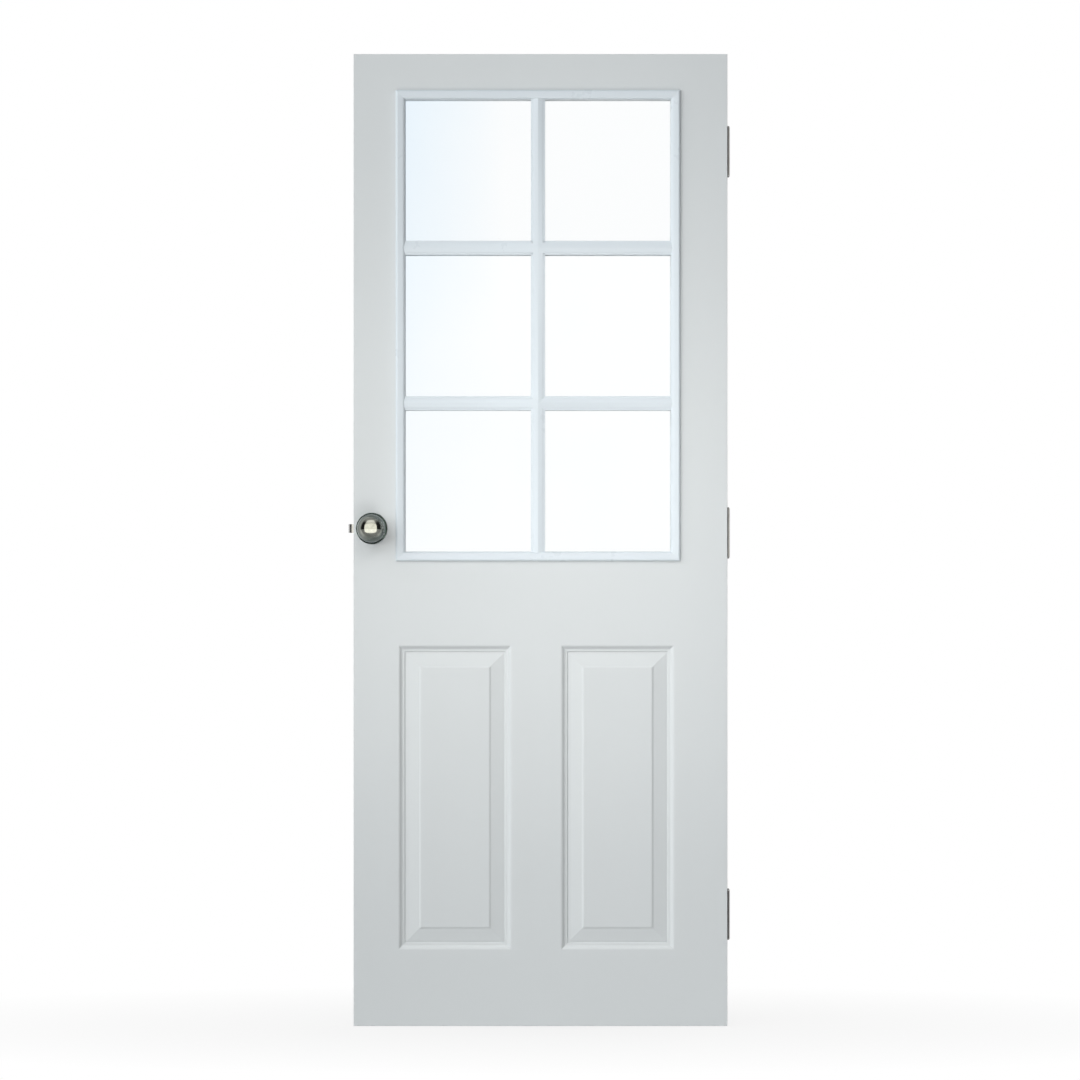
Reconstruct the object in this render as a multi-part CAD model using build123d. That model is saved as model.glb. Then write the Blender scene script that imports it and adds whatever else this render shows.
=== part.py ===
# A front door leaf with six lights over two raised panels, a ball knob on each side,
# a sprung mortice latch and three butt hinges. Millimetres, +Z up.
# X runs from the lock edge (-) to the hinge edge (+), the outside faces -Y,
# and the origin is the centre of the leaf's bottom edge.
import os
from math import sqrt

from build123d import *

# Leaf
leaf_width = 762.0
leaf_height = 1981.0
leaf_thickness = 44.0
skin_thickness = 3.0
glue_gap = 0.2  # bond line round every piece of the core
stile_width = 35.0
top_rail_height = 60.0
bottom_rail_height = 80.0
lock_block_height = 240.0

# Raised panels pressed into both skins
panel_height = 622.0
panel_bottom = 155.0
panel_lock_margin = 90.5  # from the leaf's lock edge to the first panel
panel_hinge_margin = 107.5  # from the last panel to the leaf's hinge edge
muntin_width = 99.0
sticking_width = 11.5
sticking_depth = 5.6
fillet_width = 1.8
quirk_width = 1.3
valley_depth = 7.4
valley_width = 1.6
bevel_width = 27.0
bevel_top_depth = 2.9
arris_width = 3.4
field_depth = 0.9

# Glazed light: two moulded frames clamp a sealed double-glazed unit
light_bottom = 947.5
light_top_margin = 73.5
light_lock_margin = 86.0
light_hinge_margin = 96.0
light_member = 19.5
light_proud = 7.2
light_edge_radius = 4.6
light_crown_width = 8.6
light_crown_fall = 1.2
light_nose_drop = 6.5
light_wall = 3.2
lip_overlap = 4.5
lip_seat = 2.0
lip_roof = 3.0
seal_gap = 0.2
cutout_clearance = 0.8
leg_thickness = 4.5
frame_meeting_gap = 1.0
pane_columns = 2
pane_rows = 3
bar_width = 29.0
bar_ridge = 5.2
bar_slope_width = 9.5
bar_slope_foot = 3.0
bar_shoulder = 1.9
bar_shoulder_width = 4.2
bar_edge = 0.7
bar_root = 2.6  # how far a bar runs into the frame's inner wall
glass_thickness = 4.0
glass_cavity = 12.0
glass_edge_clearance = 0.9
edge_seal = 2.3
spacer_width = 6.0
spacer_wall = 0.8
tape_thickness = 2.0
tape_setback = 1.0
light_screws_tall = 4
light_screws_wide = 2
light_screw_radius = 1.5
light_screw_head_radius = 2.7
light_screw_head_height = 1.5
light_screw_length = 40.0
light_screw_seat = 3.4
plug_radius = 3.0
plug_height = 1.6

# Knobs, roses and spindle
knob_height = 1014.0
backset = 37.0
ball_radius = 28.5
ball_centre = 40.0  # from the leaf's face
neck_radius = 10.0
neck_start = 1.0
neck_waist = 9.0
neck_waist_radius = 8.6
rose_radius = 32.0
rose_rim = 1.8
rose_dome = 6.8
rose_dome_radius = 14.0
rose_dome_swell = 0.9
rose_collar = 7.6
rose_collar_wall = 2.9
rose_wall = 2.2
rose_screw_circle = 25.0
rose_screw_drop = 24.0  # degrees below the horizontal
rose_screw_radius = 1.75
rose_screw_head_radius = 3.5
rose_screw_head_height = 2.0
rose_screw_length = 19.0
rose_screw_top = 4.6
rose_post_radius = 3.9
spindle_size = 8.0
spindle_socket = 34.0
spindle_clearance = 0.05
spindle_end_gap = 1.0
spindle_hole_radius = 12.0
grub_radius = 2.0
grub_height = 10.4

# Mortice latch
latch_case_depth = 64.0
latch_case_height = 62.0
latch_case_thickness = 14.0
latch_plate = 1.2
case_clearance = 0.5  # round the latch's case in its mortice
forend_width = 22.0
forend_height = 144.0
forend_thickness = 3.0
forend_screw_pitch = 124.0
forend_screw_radius = 1.9
forend_screw_head_radius = 3.8
forend_screw_head_height = 2.1
forend_screw_length = 22.0
bolt_throw = 11.0
bolt_thickness = 11.0
bolt_height = 18.0
bolt_clearance = 0.3
bolt_nose = 2.5
bolt_bevel_slope = 0.12  # of the bevel where it leaves the flat side
bolt_shank = 13.0  # length of the head behind the leaf's edge
tail_thickness = 3.0
tail_reach = 21.0
tail_rail = 3.5
tail_leg = 3.7
hook_length = 4.2
hook_gap = 0.3
hook_foot = 9.0
follower_radius = 8.0
follower_journal_radius = 7.0
follower_arm_reach = 16.0
follower_arm_width = 5.0
follower_arm_thickness = 3.6
follower_end_play = 0.3
pillar_radius = 2.5
pillar_inset = 4.0
spring_radius = 2.4
spring_wire = 0.7
spring_turns = 5
spring_end_gap = 0.3

# Butt hinges
bottom_hinge_height = 225.0
top_hinge_margin = 196.0  # from the top hinge's middle to the leaf's top
hinge_length = 100.0
hinge_leaf_width = 38.0
hinge_leaf_thickness = 2.6
hinge_leaf_gap = 1.6
knuckle_radius = 5.5
knuckle_count = 5
knuckle_gap = 0.3
knuckle_setoff = 0.5  # barrel to the leaf's inside face
notch_clearance = 0.35
pin_radius = 3.0
pin_head_radius = 4.6
pin_head_height = 2.4
hinge_outer_pitch = 76.0
hinge_inner_pitch = 30.0
hinge_outer_hole_inset = 8.0
hinge_inner_hole_inset = 18.0
hinge_screw_radius = 2.2
hinge_hole_radius = 2.5  # in both leaves
hinge_screw_head_radius = 4.3
hinge_screw_head_height = 1.7
hinge_screw_length = 30.0

# Shared fits
running_clearance = 0.05
screw_clearance = 0.1
recess_clearance = 0.1  # round plates let into the leaf's edges
past = 1.0  # how far a cutter runs past the surface that it cuts

# Planes and edges worked out from the sizes above
face = leaf_thickness / 2
core_face = face - skin_thickness - glue_gap
lock_edge = -leaf_width / 2
hinge_edge = leaf_width / 2
stile_inside = leaf_width / 2 - stile_width
panel_width = (leaf_width - panel_lock_margin - muntin_width - panel_hinge_margin) / 2
light_left = lock_edge + light_lock_margin
light_right = hinge_edge - light_hinge_margin
light_top = leaf_height - light_top_margin
light_width = light_right - light_left
light_height = light_top - light_bottom
cutout_left = light_left + lip_overlap
cutout_right = light_right - lip_overlap
cutout_bottom = light_bottom + lip_overlap
cutout_top = light_top - lip_overlap
sight_left = light_left + light_member
sight_right = light_right - light_member
sight_bottom = light_bottom + light_member
sight_top = light_top - light_member
leg_outside = lip_overlap + cutout_clearance
leg_inside = leg_outside + leg_thickness
glass_inset = leg_inside + glass_edge_clearance
glass_face = glass_cavity / 2 + glass_thickness
tape_face = glass_face + tape_thickness
spindle_x = lock_edge + backset
follower_half = latch_case_thickness / 2 - latch_plate - follower_end_play
latch_front = lock_edge + forend_thickness
latch_rear = latch_front + latch_case_depth
hook_front = spindle_x + follower_arm_width / 2 + hook_gap
hook_rear = hook_front + hook_length
top_hinge_height = leaf_height - top_hinge_margin
hinge_heights = {
    "bottom": bottom_hinge_height,
    "middle": (bottom_hinge_height + top_hinge_height) / 2,
    "top": top_hinge_height,
}
barrel_x = hinge_edge + hinge_leaf_gap / 2
barrel_y = face + knuckle_radius + knuckle_setoff
knuckle_length = (hinge_length - (knuckle_count - 1) * knuckle_gap) / knuckle_count


def block(x0, x1, y0, y1, z0, z1):
    """A box between two corners."""
    centre = Pos((x0 + x1) / 2, (y0 + y1) / 2, (z0 + z1) / 2)
    return centre * Box(abs(x1 - x0), abs(y1 - y0), abs(z1 - z0))


def closed(*curves):
    """One face inside curves that meet end to end."""
    return make_face(Curve() + list(curves))


def turned(*outline):
    """A solid of revolution about Y from points (radius, height)."""
    return revolve(make_face(Polyline(*outline, close=True)), Axis.Y)


def rod(radius, y0, y1):
    """A round bar along Y."""
    return turned((0, y0), (radius, y0), (radius, y1), (0, y1))


def mitred(section, left, right, bottom, top, reach):
    """A section run round a rectangle in the XZ plane, with mitred corners.

    The section's X runs inwards from the rectangle and its Y towards the outside.
    """
    corners = [(left, bottom), (right, bottom), (right, top), (left, top)]
    ring = None
    for start, end in zip(corners, corners[1:] + corners[:1]):
        run = Vector(end[0] - start[0], 0, end[1] - start[1])
        along = run.normalized()
        inward = Vector(-along.Z, 0, along.X)
        side = Plane(origin=(start[0], 0, start[1]), x_dir=inward, z_dir=along)
        bar = extrude(side * section, run.length)
        first = Vector(start[0], 0, start[1])
        last = Vector(end[0], 0, end[1])
        outline = Polyline(
            first,
            last,
            last + (inward - along) * reach,
            first + (inward + along) * reach,
            close=True,
        )
        wedge = extrude(make_face(outline), leaf_thickness, both=True)
        piece = bar & wedge
        ring = piece if ring is None else ring + piece
    return ring


def other_side(shape):
    """The same shape on the leaf's other face."""
    return mirror(shape, Plane.XZ)


def screw(head_radius, head_height, radius, length):
    """A countersunk wood screw along -Y, its head's top at the origin."""
    point = length - 2 * radius
    return turned((0, 0), (head_radius, 0), (radius, -head_height), (radius, -point), (0, -length))


def screw_hole(head_radius, head_height, radius, length):
    """The countersunk hole for that screw, open above its head."""
    room = screw_clearance
    return turned(
        (0, past),
        (head_radius + room, past),
        (head_radius + room, -room),
        (radius + room, -head_height - room),
        (radius + room, -length - room),
        (0, -length - room),
    )


# Skins


def panel_relief():
    """Depth section of a raised panel, from the flat of the leaf in to the field."""
    half = (sticking_width / 2, -sticking_depth / 2)
    foot = (sticking_width, -sticking_depth)
    fillet = sticking_width + fillet_width
    quirk = fillet + quirk_width
    valley = quirk + valley_width
    bevel = valley + bevel_width
    field = bevel + arris_width
    hollow = TangentArc((0, 0), half, tangent=(1, 0))
    swell = TangentArc(half, foot, tangent=hollow % 1)
    rest = Polyline(
        foot,
        (fillet, -sticking_depth),
        (quirk, -valley_depth),
        (valley, -valley_depth),
        (bevel, -bevel_top_depth),
        (field, -field_depth),
        (field, past),
        (0, past),
        (0, 0),
    )
    return closed(hollow, swell, rest), field


def panel_lefts():
    """Left edges of the two panels."""
    first = lock_edge + panel_lock_margin
    return [first, first + panel_width + muntin_width]


def panel_cutters():
    """What the pressing takes out of the outside face, panel by panel."""
    section, field = panel_relief()
    section = Pos(0, face) * section
    cutters = []
    for left in panel_lefts():
        right = left + panel_width
        top = panel_bottom + panel_height
        ring = mitred(section, left, right, panel_bottom, top, field)
        low, high = panel_bottom + field, top - field
        centre = block(left + field, right - field, -face - past, -face + field_depth, low, high)
        cutters.append(ring + centre)
    return cutters


def pressed_skin():
    """The outside skin: a sheet pressed into two raised panels, cut for the light."""
    skin = block(lock_edge, hinge_edge, -face, -face + skin_thickness, 0, leaf_height)
    cutters = panel_cutters()
    for cutter in cutters:
        skin = skin + Pos(0, skin_thickness, 0) * cutter
    for cutter in cutters:
        skin = skin - cutter
    cutout = block(cutout_left, cutout_right, -leaf_thickness, 0, cutout_bottom, cutout_top)
    spindle_hole = Pos(spindle_x, 0, knob_height) * rod(spindle_hole_radius, -leaf_thickness, 0)
    return skin - cutout - spindle_hole - rose_holes()


def core_hollows():
    """The room that the core leaves for the backs of both pressed skins."""
    hollows = None
    for cutter in panel_cutters():
        back = Pos(0, skin_thickness + glue_gap, 0) * cutter
        pair = back + other_side(back)
        hollows = pair if hollows is None else hollows + pair
    return hollows


# Core


def latch_pocket():
    """The mortice, the forend's recess and the spindle's way through the leaf."""
    room = case_clearance
    half = latch_case_thickness / 2 + room
    tall = latch_case_height / 2 + room
    pocket = block(
        latch_front - past, latch_rear + room, -half, half, knob_height - tall, knob_height + tall
    )
    wide = forend_width / 2 + recess_clearance
    high = forend_height / 2 + recess_clearance
    recess = block(
        lock_edge - past, latch_front, -wide, wide, knob_height - high, knob_height + high
    )
    spindle_way = Pos(spindle_x, 0, knob_height) * rod(spindle_hole_radius, -face, face)
    pilots = rose_holes()
    return pocket + recess + spindle_way + forend_screw_holes() + pilots + other_side(pilots)


def lock_stile():
    """The timber stile at the lock edge."""
    stile = block(lock_edge, -stile_inside, -core_face, core_face, 0, leaf_height)
    return stile - latch_pocket()


def hinge_stile():
    """The timber stile at the hinge edge."""
    stile = block(stile_inside, hinge_edge, -core_face, core_face, 0, leaf_height)
    return stile - hinge_mortises() - hinge_screw_holes()


def rail(bottom, top):
    """A timber rail between the stiles."""
    half = stile_inside - glue_gap
    return block(-half, half, -core_face, core_face, bottom, top)


def lock_block_box(gap):
    """The lock block's room, or with no gap the block itself."""
    half = lock_block_height / 2
    return block(
        -stile_inside + glue_gap - gap,
        cutout_left - glue_gap + gap,
        -core_face,
        core_face,
        knob_height - half - gap,
        knob_height + half + gap,
    )


def lock_block():
    """The block that backs the latch between the stile and the light."""
    return lock_block_box(0) - latch_pocket()


def foam_core():
    """The insulating core, open for the light and hollowed behind the panels."""
    bottom = bottom_rail_height + glue_gap
    top = leaf_height - top_rail_height - glue_gap
    core = rail(bottom, top)
    cutout = block(cutout_left, cutout_right, -face, face, cutout_bottom, cutout_top)
    return core - cutout - lock_block_box(glue_gap) - core_hollows()


# Glazed light


def light_section():
    """Section of one moulded frame: lip, crowned face, nose, inner wall and leg."""
    crown = light_edge_radius + light_crown_width
    crown_foot = light_proud - light_crown_fall
    inner = light_member - light_wall
    back = tape_face - face
    leg_end = frame_meeting_gap / 2 - face
    edge_start = (0, light_proud - light_edge_radius)
    edge_end = (light_edge_radius, light_proud)
    nose_end = (light_member, crown_foot - light_nose_drop)
    edge = TangentArc(edge_start, edge_end, tangent=(0, 1))
    slope = Line(edge_end, (crown, crown_foot))
    nose = TangentArc((crown, crown_foot), nose_end, tangent=slope % 1)
    rest = Polyline(
        nose_end,
        (light_member, back),
        (inner, back),
        (inner, lip_roof - seal_gap),
        (leg_inside, lip_roof - seal_gap),
        (leg_inside, leg_end),
        (leg_outside, leg_end),
        (leg_outside, lip_roof),
        (lip_seat, lip_roof),
        (lip_seat, seal_gap),
        (0, seal_gap),
        edge_start,
    )
    return closed(edge, slope, nose, rest)


def bar_section():
    """Section of a glazing bar: a ridge, two slopes and a shoulder on each side."""
    half = bar_width / 2
    shoulder = bar_slope_width + (bar_slope_foot - bar_shoulder)
    outer = min(shoulder + bar_shoulder_width, half)
    back = tape_face - face
    right = [
        (bar_slope_width, bar_slope_foot),
        (shoulder, bar_shoulder),
        (outer - bar_edge, bar_shoulder),
        (half, bar_shoulder - bar_edge),
        (half, back),
    ]
    left = [(-x, y) for x, y in reversed(right)]
    return make_face(Polyline((0, bar_ridge), *right, *left, close=True))


def bar_places():
    """Centre lines of the upright and level glazing bars."""
    pane_width = (sight_right - sight_left - (pane_columns - 1) * bar_width) / pane_columns
    pane_height = (sight_top - sight_bottom - (pane_rows - 1) * bar_width) / pane_rows
    upright = [
        sight_left + i * (pane_width + bar_width) - bar_width / 2 for i in range(1, pane_columns)
    ]
    level = [
        sight_bottom + i * (pane_height + bar_width) - bar_width / 2 for i in range(1, pane_rows)
    ]
    return upright, level


def light_frame():
    """The outside frame with its glazing bars moulded in."""
    section = Pos(0, face) * light_section()
    frame = mitred(section, light_left, light_right, light_bottom, light_top, light_member)
    upright, level = bar_places()
    bar = Pos(0, face) * bar_section()
    for x in upright:
        start = Plane(origin=(x, 0, sight_bottom - bar_root), x_dir=(-1, 0, 0), z_dir=(0, 0, 1))
        frame = frame + extrude(start * bar, sight_top - sight_bottom + 2 * bar_root)
    for z in level:
        start = Plane(origin=(sight_left - bar_root, 0, z), x_dir=(0, 0, 1), z_dir=(1, 0, 0))
        frame = frame + extrude(start * bar, sight_right - sight_left + 2 * bar_root)
    return frame


def light_screw_places():
    """Where the screws stand along the frame's legs."""
    inset = leg_outside + leg_thickness / 2
    places = []
    for i in range(light_screws_tall):
        z = light_bottom + light_height * (i + 0.5) / light_screws_tall
        places += [(light_left + inset, z), (light_right - inset, z)]
    for i in range(light_screws_wide):
        x = light_left + light_width * (i + 0.5) / light_screws_wide
        places += [(x, light_bottom + inset), (x, light_top - inset)]
    return places


def light_crown_height():
    """How far the crown stands from the leaf's face over the screws."""
    inset = leg_outside + leg_thickness / 2
    return light_proud - light_crown_fall * (inset - light_edge_radius) / light_crown_width


def outside_light_frame():
    """The outside frame, with blind pilot holes in its legs."""
    end = face + light_screw_seat - light_screw_length - screw_clearance
    pilot = rod(light_screw_radius + running_clearance, end, 0)
    frame = light_frame()
    for x, z in light_screw_places():
        frame = frame - Pos(x, 0, z) * pilot
    return frame


def inside_light_frame():
    """The inside frame, counterbored for the screws and their plugs."""
    seat = face + light_screw_seat
    hole = rod(light_screw_radius + screw_clearance, 0, seat) + rod(
        plug_radius + running_clearance, seat, face + light_proud + past
    )
    frame = other_side(light_frame())
    for x, z in light_screw_places():
        frame = frame - Pos(x, 0, z) * hole
    return frame


def light_screws():
    """The screws that draw the two frames together."""
    seat = face + light_screw_seat
    tip = seat - light_screw_length
    one = turned(
        (0, seat + light_screw_head_height),
        (light_screw_head_radius, seat + light_screw_head_height),
        (light_screw_head_radius, seat),
        (light_screw_radius, seat),
        (light_screw_radius, tip + 2 * light_screw_radius),
        (0, tip),
    )
    return Compound([Pos(x, 0, z) * one for x, z in light_screw_places()])


def screw_plugs():
    """The press-in plugs over the screw heads."""
    top = face + light_crown_height()
    one = rod(plug_radius, top - plug_height, top)
    return Compound([Pos(x, 0, z) * one for x, z in light_screw_places()])


def ring(inset, width, y0, y1):
    """A flat ring that starts a given inset from the frame's outer edge."""
    outer = block(
        light_left + inset, light_right - inset, y0, y1, light_bottom + inset, light_top - inset
    )
    inner_inset = inset + width
    inner = block(
        light_left + inner_inset,
        light_right - inner_inset,
        y0 - past,
        y1 + past,
        light_bottom + inner_inset,
        light_top - inner_inset,
    )
    return outer - inner


def glass_pane(y0, y1):
    """One pane of the sealed unit."""
    inset = glass_inset
    return block(
        light_left + inset, light_right - inset, y0, y1, light_bottom + inset, light_top - inset
    )


def glass_spacer():
    """The hollow spacer bar between the panes."""
    half = glass_cavity / 2
    inset = glass_inset + edge_seal
    bar = ring(inset, spacer_width, -half, half)
    hollow = ring(
        inset + spacer_wall, spacer_width - 2 * spacer_wall, -half + spacer_wall, half - spacer_wall
    )
    return bar - hollow


def glazing_tape():
    """The foam tape between the outside frame and its pane."""
    width = light_member - tape_setback - glass_inset
    return ring(glass_inset, width, -tape_face, -glass_face)


# Knobs, roses and spindle


def at_spindle(shape):
    """Moves a shape turned about Y at the origin to the spindle's axis, on the inside face."""
    return Pos(spindle_x, face, knob_height) * shape


def knob():
    """A ball knob: its neck, waist and ball turned as one, with a square socket."""
    rise = sqrt(ball_radius**2 - neck_waist_radius**2)
    ball_foot = (neck_waist_radius, ball_centre - rise)
    stem = Polyline(
        (0, ball_centre + ball_radius),
        (0, neck_start),
        (neck_radius, neck_start),
        (neck_radius, neck_waist),
        (neck_waist_radius, neck_waist + (neck_radius - neck_waist_radius)),
        ball_foot,
    )
    ball = ThreePointArc(ball_foot, (ball_radius, ball_centre), (0, ball_centre + ball_radius))
    body = revolve(closed(stem, ball), Axis.Y)
    side = spindle_size + 2 * spindle_clearance
    socket_end = neck_start + spindle_socket
    socket = block(-side / 2, side / 2, neck_start - past, socket_end, -side / 2, side / 2)
    return body - socket - grub(grub_radius + running_clearance, past)


def grub(radius, extra):
    """The grub screw under the neck, or with extra length its hole."""
    start = spindle_size / 2 + spindle_clearance
    length = neck_waist_radius + extra - start
    return Pos(0, grub_height, -start) * Rot(X=-90) * rod(radius, 0, length)


def rose():
    """A pressed round rose with a collar for the knob's neck and a post at each screw."""
    bore = neck_radius + running_clearance
    collar = bore + rose_collar_wall
    rim = (rose_radius, rose_rim)
    crown = (rose_dome_radius, rose_dome)
    middle = ((rose_radius + rose_dome_radius) / 2, (rose_rim + rose_dome) / 2 + rose_dome_swell)
    inner_rim = (rose_radius - rose_wall, 0)
    inner_middle = (middle[0] - rose_wall / 3, middle[1] - rose_wall)
    inner_crown = (collar, rose_dome - rose_wall)
    top = Polyline(
        crown,
        (rose_dome_radius, rose_collar),
        (bore, rose_collar),
        (bore, 0),
        (collar, 0),
        inner_crown,
    )
    dome = ThreePointArc(rim, middle, crown)
    under = ThreePointArc(inner_crown, inner_middle, inner_rim)
    edge = Polyline(inner_rim, (rose_radius, 0), rim)
    shell = revolve(closed(dome, top, under, edge), Axis.Y)
    post = rod(rose_post_radius, 0, rose_screw_top)
    hole = screw_hole(
        rose_screw_head_radius, rose_screw_head_height, rose_screw_radius, rose_screw_length
    )
    for place in rose_screw_places():
        shell = shell + place * post
    for place in rose_screw_places():
        shell = shell - place * Pos(0, rose_screw_top, 0) * hole
    return shell


def rose_screw_places():
    """The two screw places on a rose, below its middle at the left and the right."""
    return [
        Rot(Y=angle) * Pos(rose_screw_circle, 0, 0)
        for angle in (rose_screw_drop, 180 - rose_screw_drop)
    ]


def rose_screw_pair():
    """The two screws of the inside rose."""
    one = screw(
        rose_screw_head_radius, rose_screw_head_height, rose_screw_radius, rose_screw_length
    )
    return [at_spindle(place * Pos(0, rose_screw_top, 0) * one) for place in rose_screw_places()]


def rose_holes():
    """Pilot holes for the outside rose's screws, through the skin and into the core."""
    depth = rose_screw_length - rose_screw_top + screw_clearance
    pilot = rod(rose_screw_radius + screw_clearance, -depth, past)
    holes = None
    for place in rose_screw_places():
        hole = other_side(at_spindle(place * pilot))
        holes = hole if holes is None else holes + hole
    return holes


def spindle():
    """The square spindle through both knobs and the follower."""
    end = face + neck_start + spindle_socket - spindle_end_gap
    half = spindle_size / 2
    return block(
        spindle_x - half, spindle_x + half, -end, end, knob_height - half, knob_height + half
    )


# Mortice latch


def at_latch(shape):
    """Moves a shape from the lock edge at knob height, X inwards, into the leaf."""
    return Pos(lock_edge, 0, knob_height) * shape


def latch_pillars(radius):
    """The two pillars that carry the case's cover."""
    inset = latch_plate + pillar_inset
    z = latch_case_height / 2 - inset
    x = forend_thickness + latch_case_depth / 2
    half = latch_case_thickness / 2
    return [Pos(x, 0, side * z) * rod(radius, -half + latch_plate, half) for side in (-1, 1)]


def latch_case():
    """The pressed case: four walls, a back and two pillars."""
    half = latch_case_thickness / 2
    tall = latch_case_height / 2
    start, end = forend_thickness, forend_thickness + latch_case_depth
    case = block(start, end, -half, half - latch_plate, -tall, tall)
    case -= block(
        start + latch_plate,
        end - latch_plate,
        -half + latch_plate,
        half,
        -tall + latch_plate,
        tall - latch_plate,
    )
    case -= bolt_window(start - past, start + latch_plate + past)
    case -= Pos(backset, 0, 0) * rod(
        follower_journal_radius + running_clearance, -latch_case_thickness, latch_case_thickness
    )
    for pillar in latch_pillars(pillar_radius):
        case += pillar
    return at_latch(case)


def latch_cover():
    """The cover plate on the case's inside face."""
    half = latch_case_thickness / 2
    tall = latch_case_height / 2
    start, end = forend_thickness, forend_thickness + latch_case_depth
    cover = block(start, end, half - latch_plate, half, -tall, tall)
    cover -= Pos(backset, 0, 0) * rod(
        follower_journal_radius + running_clearance, 0, latch_case_thickness
    )
    for pillar in latch_pillars(pillar_radius + running_clearance):
        cover -= pillar
    return at_latch(cover)


def bolt_window(x0, x1):
    """The opening that the bolt's head slides through."""
    half = bolt_thickness / 2 + bolt_clearance
    tall = bolt_height / 2 + bolt_clearance
    return block(x0, x1, -half, half, -tall, tall)


def latch_bolt():
    """The bolt: a bevelled head and a forked tail round the follower."""
    half = bolt_thickness / 2
    tip = (-bolt_throw, bolt_nose)
    flats = Polyline(
        tip, (-bolt_throw, half), (bolt_shank, half), (bolt_shank, -half), (0, -half)
    )
    bevel = TangentArc((0, -half), tip, tangent=(-1, bolt_bevel_slope))
    head = Pos(0, 0, -bolt_height / 2) * extrude(closed(flats, bevel), bolt_height)
    layer = tail_thickness / 2
    front = bolt_shank - tail_leg
    foot, rear = hook_front - lock_edge, hook_rear - lock_edge
    bolt = head
    for side in (-1, 1):
        outer, inner = side * tail_reach, side * (tail_reach - tail_rail)
        bolt += block(front, bolt_shank, -layer, layer, 0, outer)
        bolt += block(front, rear, -layer, layer, inner, outer)
        bolt += block(foot, rear, -layer, layer, side * hook_foot, outer)
    return at_latch(bolt)


def latch_follower():
    """The follower: a hub on two journals, square for the spindle, with two arms."""
    journal = latch_case_thickness / 2
    hub = rod(follower_radius, -follower_half, follower_half)
    hub += rod(follower_journal_radius, -journal, journal)
    arm_half = follower_arm_width / 2
    layer = follower_arm_thickness / 2
    hub += block(-arm_half, arm_half, -layer, layer, -follower_arm_reach, follower_arm_reach)
    side = spindle_size / 2 + spindle_clearance
    hub -= block(-side, side, -journal - past, journal + past, -side, side)
    return Pos(spindle_x, 0, knob_height) * hub


def latch_springs():
    """Two compression springs between the bolt's hooks and the case's rear wall."""
    start = hook_rear + spring_end_gap
    end = latch_rear - latch_plate - spring_end_gap
    height = end - start - spring_wire
    middle = spring_radius - spring_wire / 2
    path = Helix(pitch=height / spring_turns, height=height, radius=middle)
    wire = Plane(origin=path @ 0, z_dir=path % 0) * Rectangle(spring_wire, spring_wire)
    coil = sweep(wire, path, is_frenet=True)
    z = (tail_reach + hook_foot) / 2
    lying = Rot(Y=90) * coil
    return Compound(
        [Pos(start + spring_wire / 2, 0, knob_height + side * z) * lying for side in (-1, 1)]
    )


def forend():
    """The latch's forend plate in the lock edge."""
    wide, high = forend_width / 2, forend_height / 2
    plate = block(0, forend_thickness, -wide, wide, -high, high)
    plate = at_latch(plate - bolt_window(-past, forend_thickness + past))
    return plate - forend_screw_holes()


def forend_screw_places():
    """Places of the forend's screws, their heads at the leaf's edge."""
    half = forend_screw_pitch / 2
    return [Pos(lock_edge, 0, knob_height + side * half) * Rot(Z=90) for side in (-1, 1)]


def forend_screws():
    """The two screws through the forend into the stile."""
    one = screw(
        forend_screw_head_radius, forend_screw_head_height, forend_screw_radius, forend_screw_length
    )
    return Compound([place * one for place in forend_screw_places()])


def forend_screw_holes():
    """Countersunk holes for those screws."""
    one = screw_hole(
        forend_screw_head_radius, forend_screw_head_height, forend_screw_radius, forend_screw_length
    )
    low, high = [place * one for place in forend_screw_places()]
    return low + high


# Hinges


def barrel(radius, z0, z1):
    """An upright cylinder on a hinge's axis, at the leaf's bottom."""
    return Pos(barrel_x, barrel_y, (z0 + z1) / 2) * Cylinder(radius, z1 - z0)


def knuckle_spans(first):
    """Every second knuckle of a hinge, as spans from its middle."""
    pitch = knuckle_length + knuckle_gap
    low = -hinge_length / 2
    return [(low + i * pitch, low + i * pitch + knuckle_length) for i in range(first, knuckle_count, 2)]


def hinge_plate(x0, x1, own, others):
    """One hinge leaf: its plate, its own knuckles and notches for the other leaf's."""
    half = hinge_length / 2
    leaf = block(x0, x1, barrel_y - hinge_leaf_width, barrel_y, -half, half)
    for z0, z1 in others:
        leaf -= barrel(knuckle_radius + notch_clearance, z0 - knuckle_gap, z1 + knuckle_gap)
    for z0, z1 in own:
        leaf += barrel(knuckle_radius, z0, z1)
    return leaf - barrel(pin_radius + running_clearance, -hinge_length, hinge_length)


def hinge_hole_places():
    """Screw holes of a hinge leaf as (y, z) from its middle: an outer and an inner pair."""
    free_edge = barrel_y - hinge_leaf_width
    outer = free_edge + hinge_outer_hole_inset
    inner = free_edge + hinge_inner_hole_inset
    return [(outer, side * hinge_outer_pitch / 2) for side in (-1, 1)] + [
        (inner, side * hinge_inner_pitch / 2) for side in (-1, 1)
    ]


def leaf_hole():
    """A countersunk screw hole of a hinge leaf."""
    bore = hinge_hole_radius - screw_clearance
    return screw_hole(hinge_screw_head_radius, hinge_screw_head_height, bore, hinge_screw_length)


def moving_leaf():
    """The hinge leaf let into the door's edge."""
    leaf = hinge_plate(
        hinge_edge - hinge_leaf_thickness, hinge_edge, knuckle_spans(1), knuckle_spans(0)
    )
    for y, z in hinge_hole_places():
        leaf -= Pos(hinge_edge, y, z) * Rot(Z=-90) * leaf_hole()
    return leaf


def fixed_leaf():
    """The hinge leaf that screws to a door frame."""
    near = hinge_edge + hinge_leaf_gap
    leaf = hinge_plate(near, near + hinge_leaf_thickness, knuckle_spans(0), knuckle_spans(1))
    for y, z in hinge_hole_places():
        leaf -= Pos(near, y, z) * Rot(Z=90) * leaf_hole()
    return leaf


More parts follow.
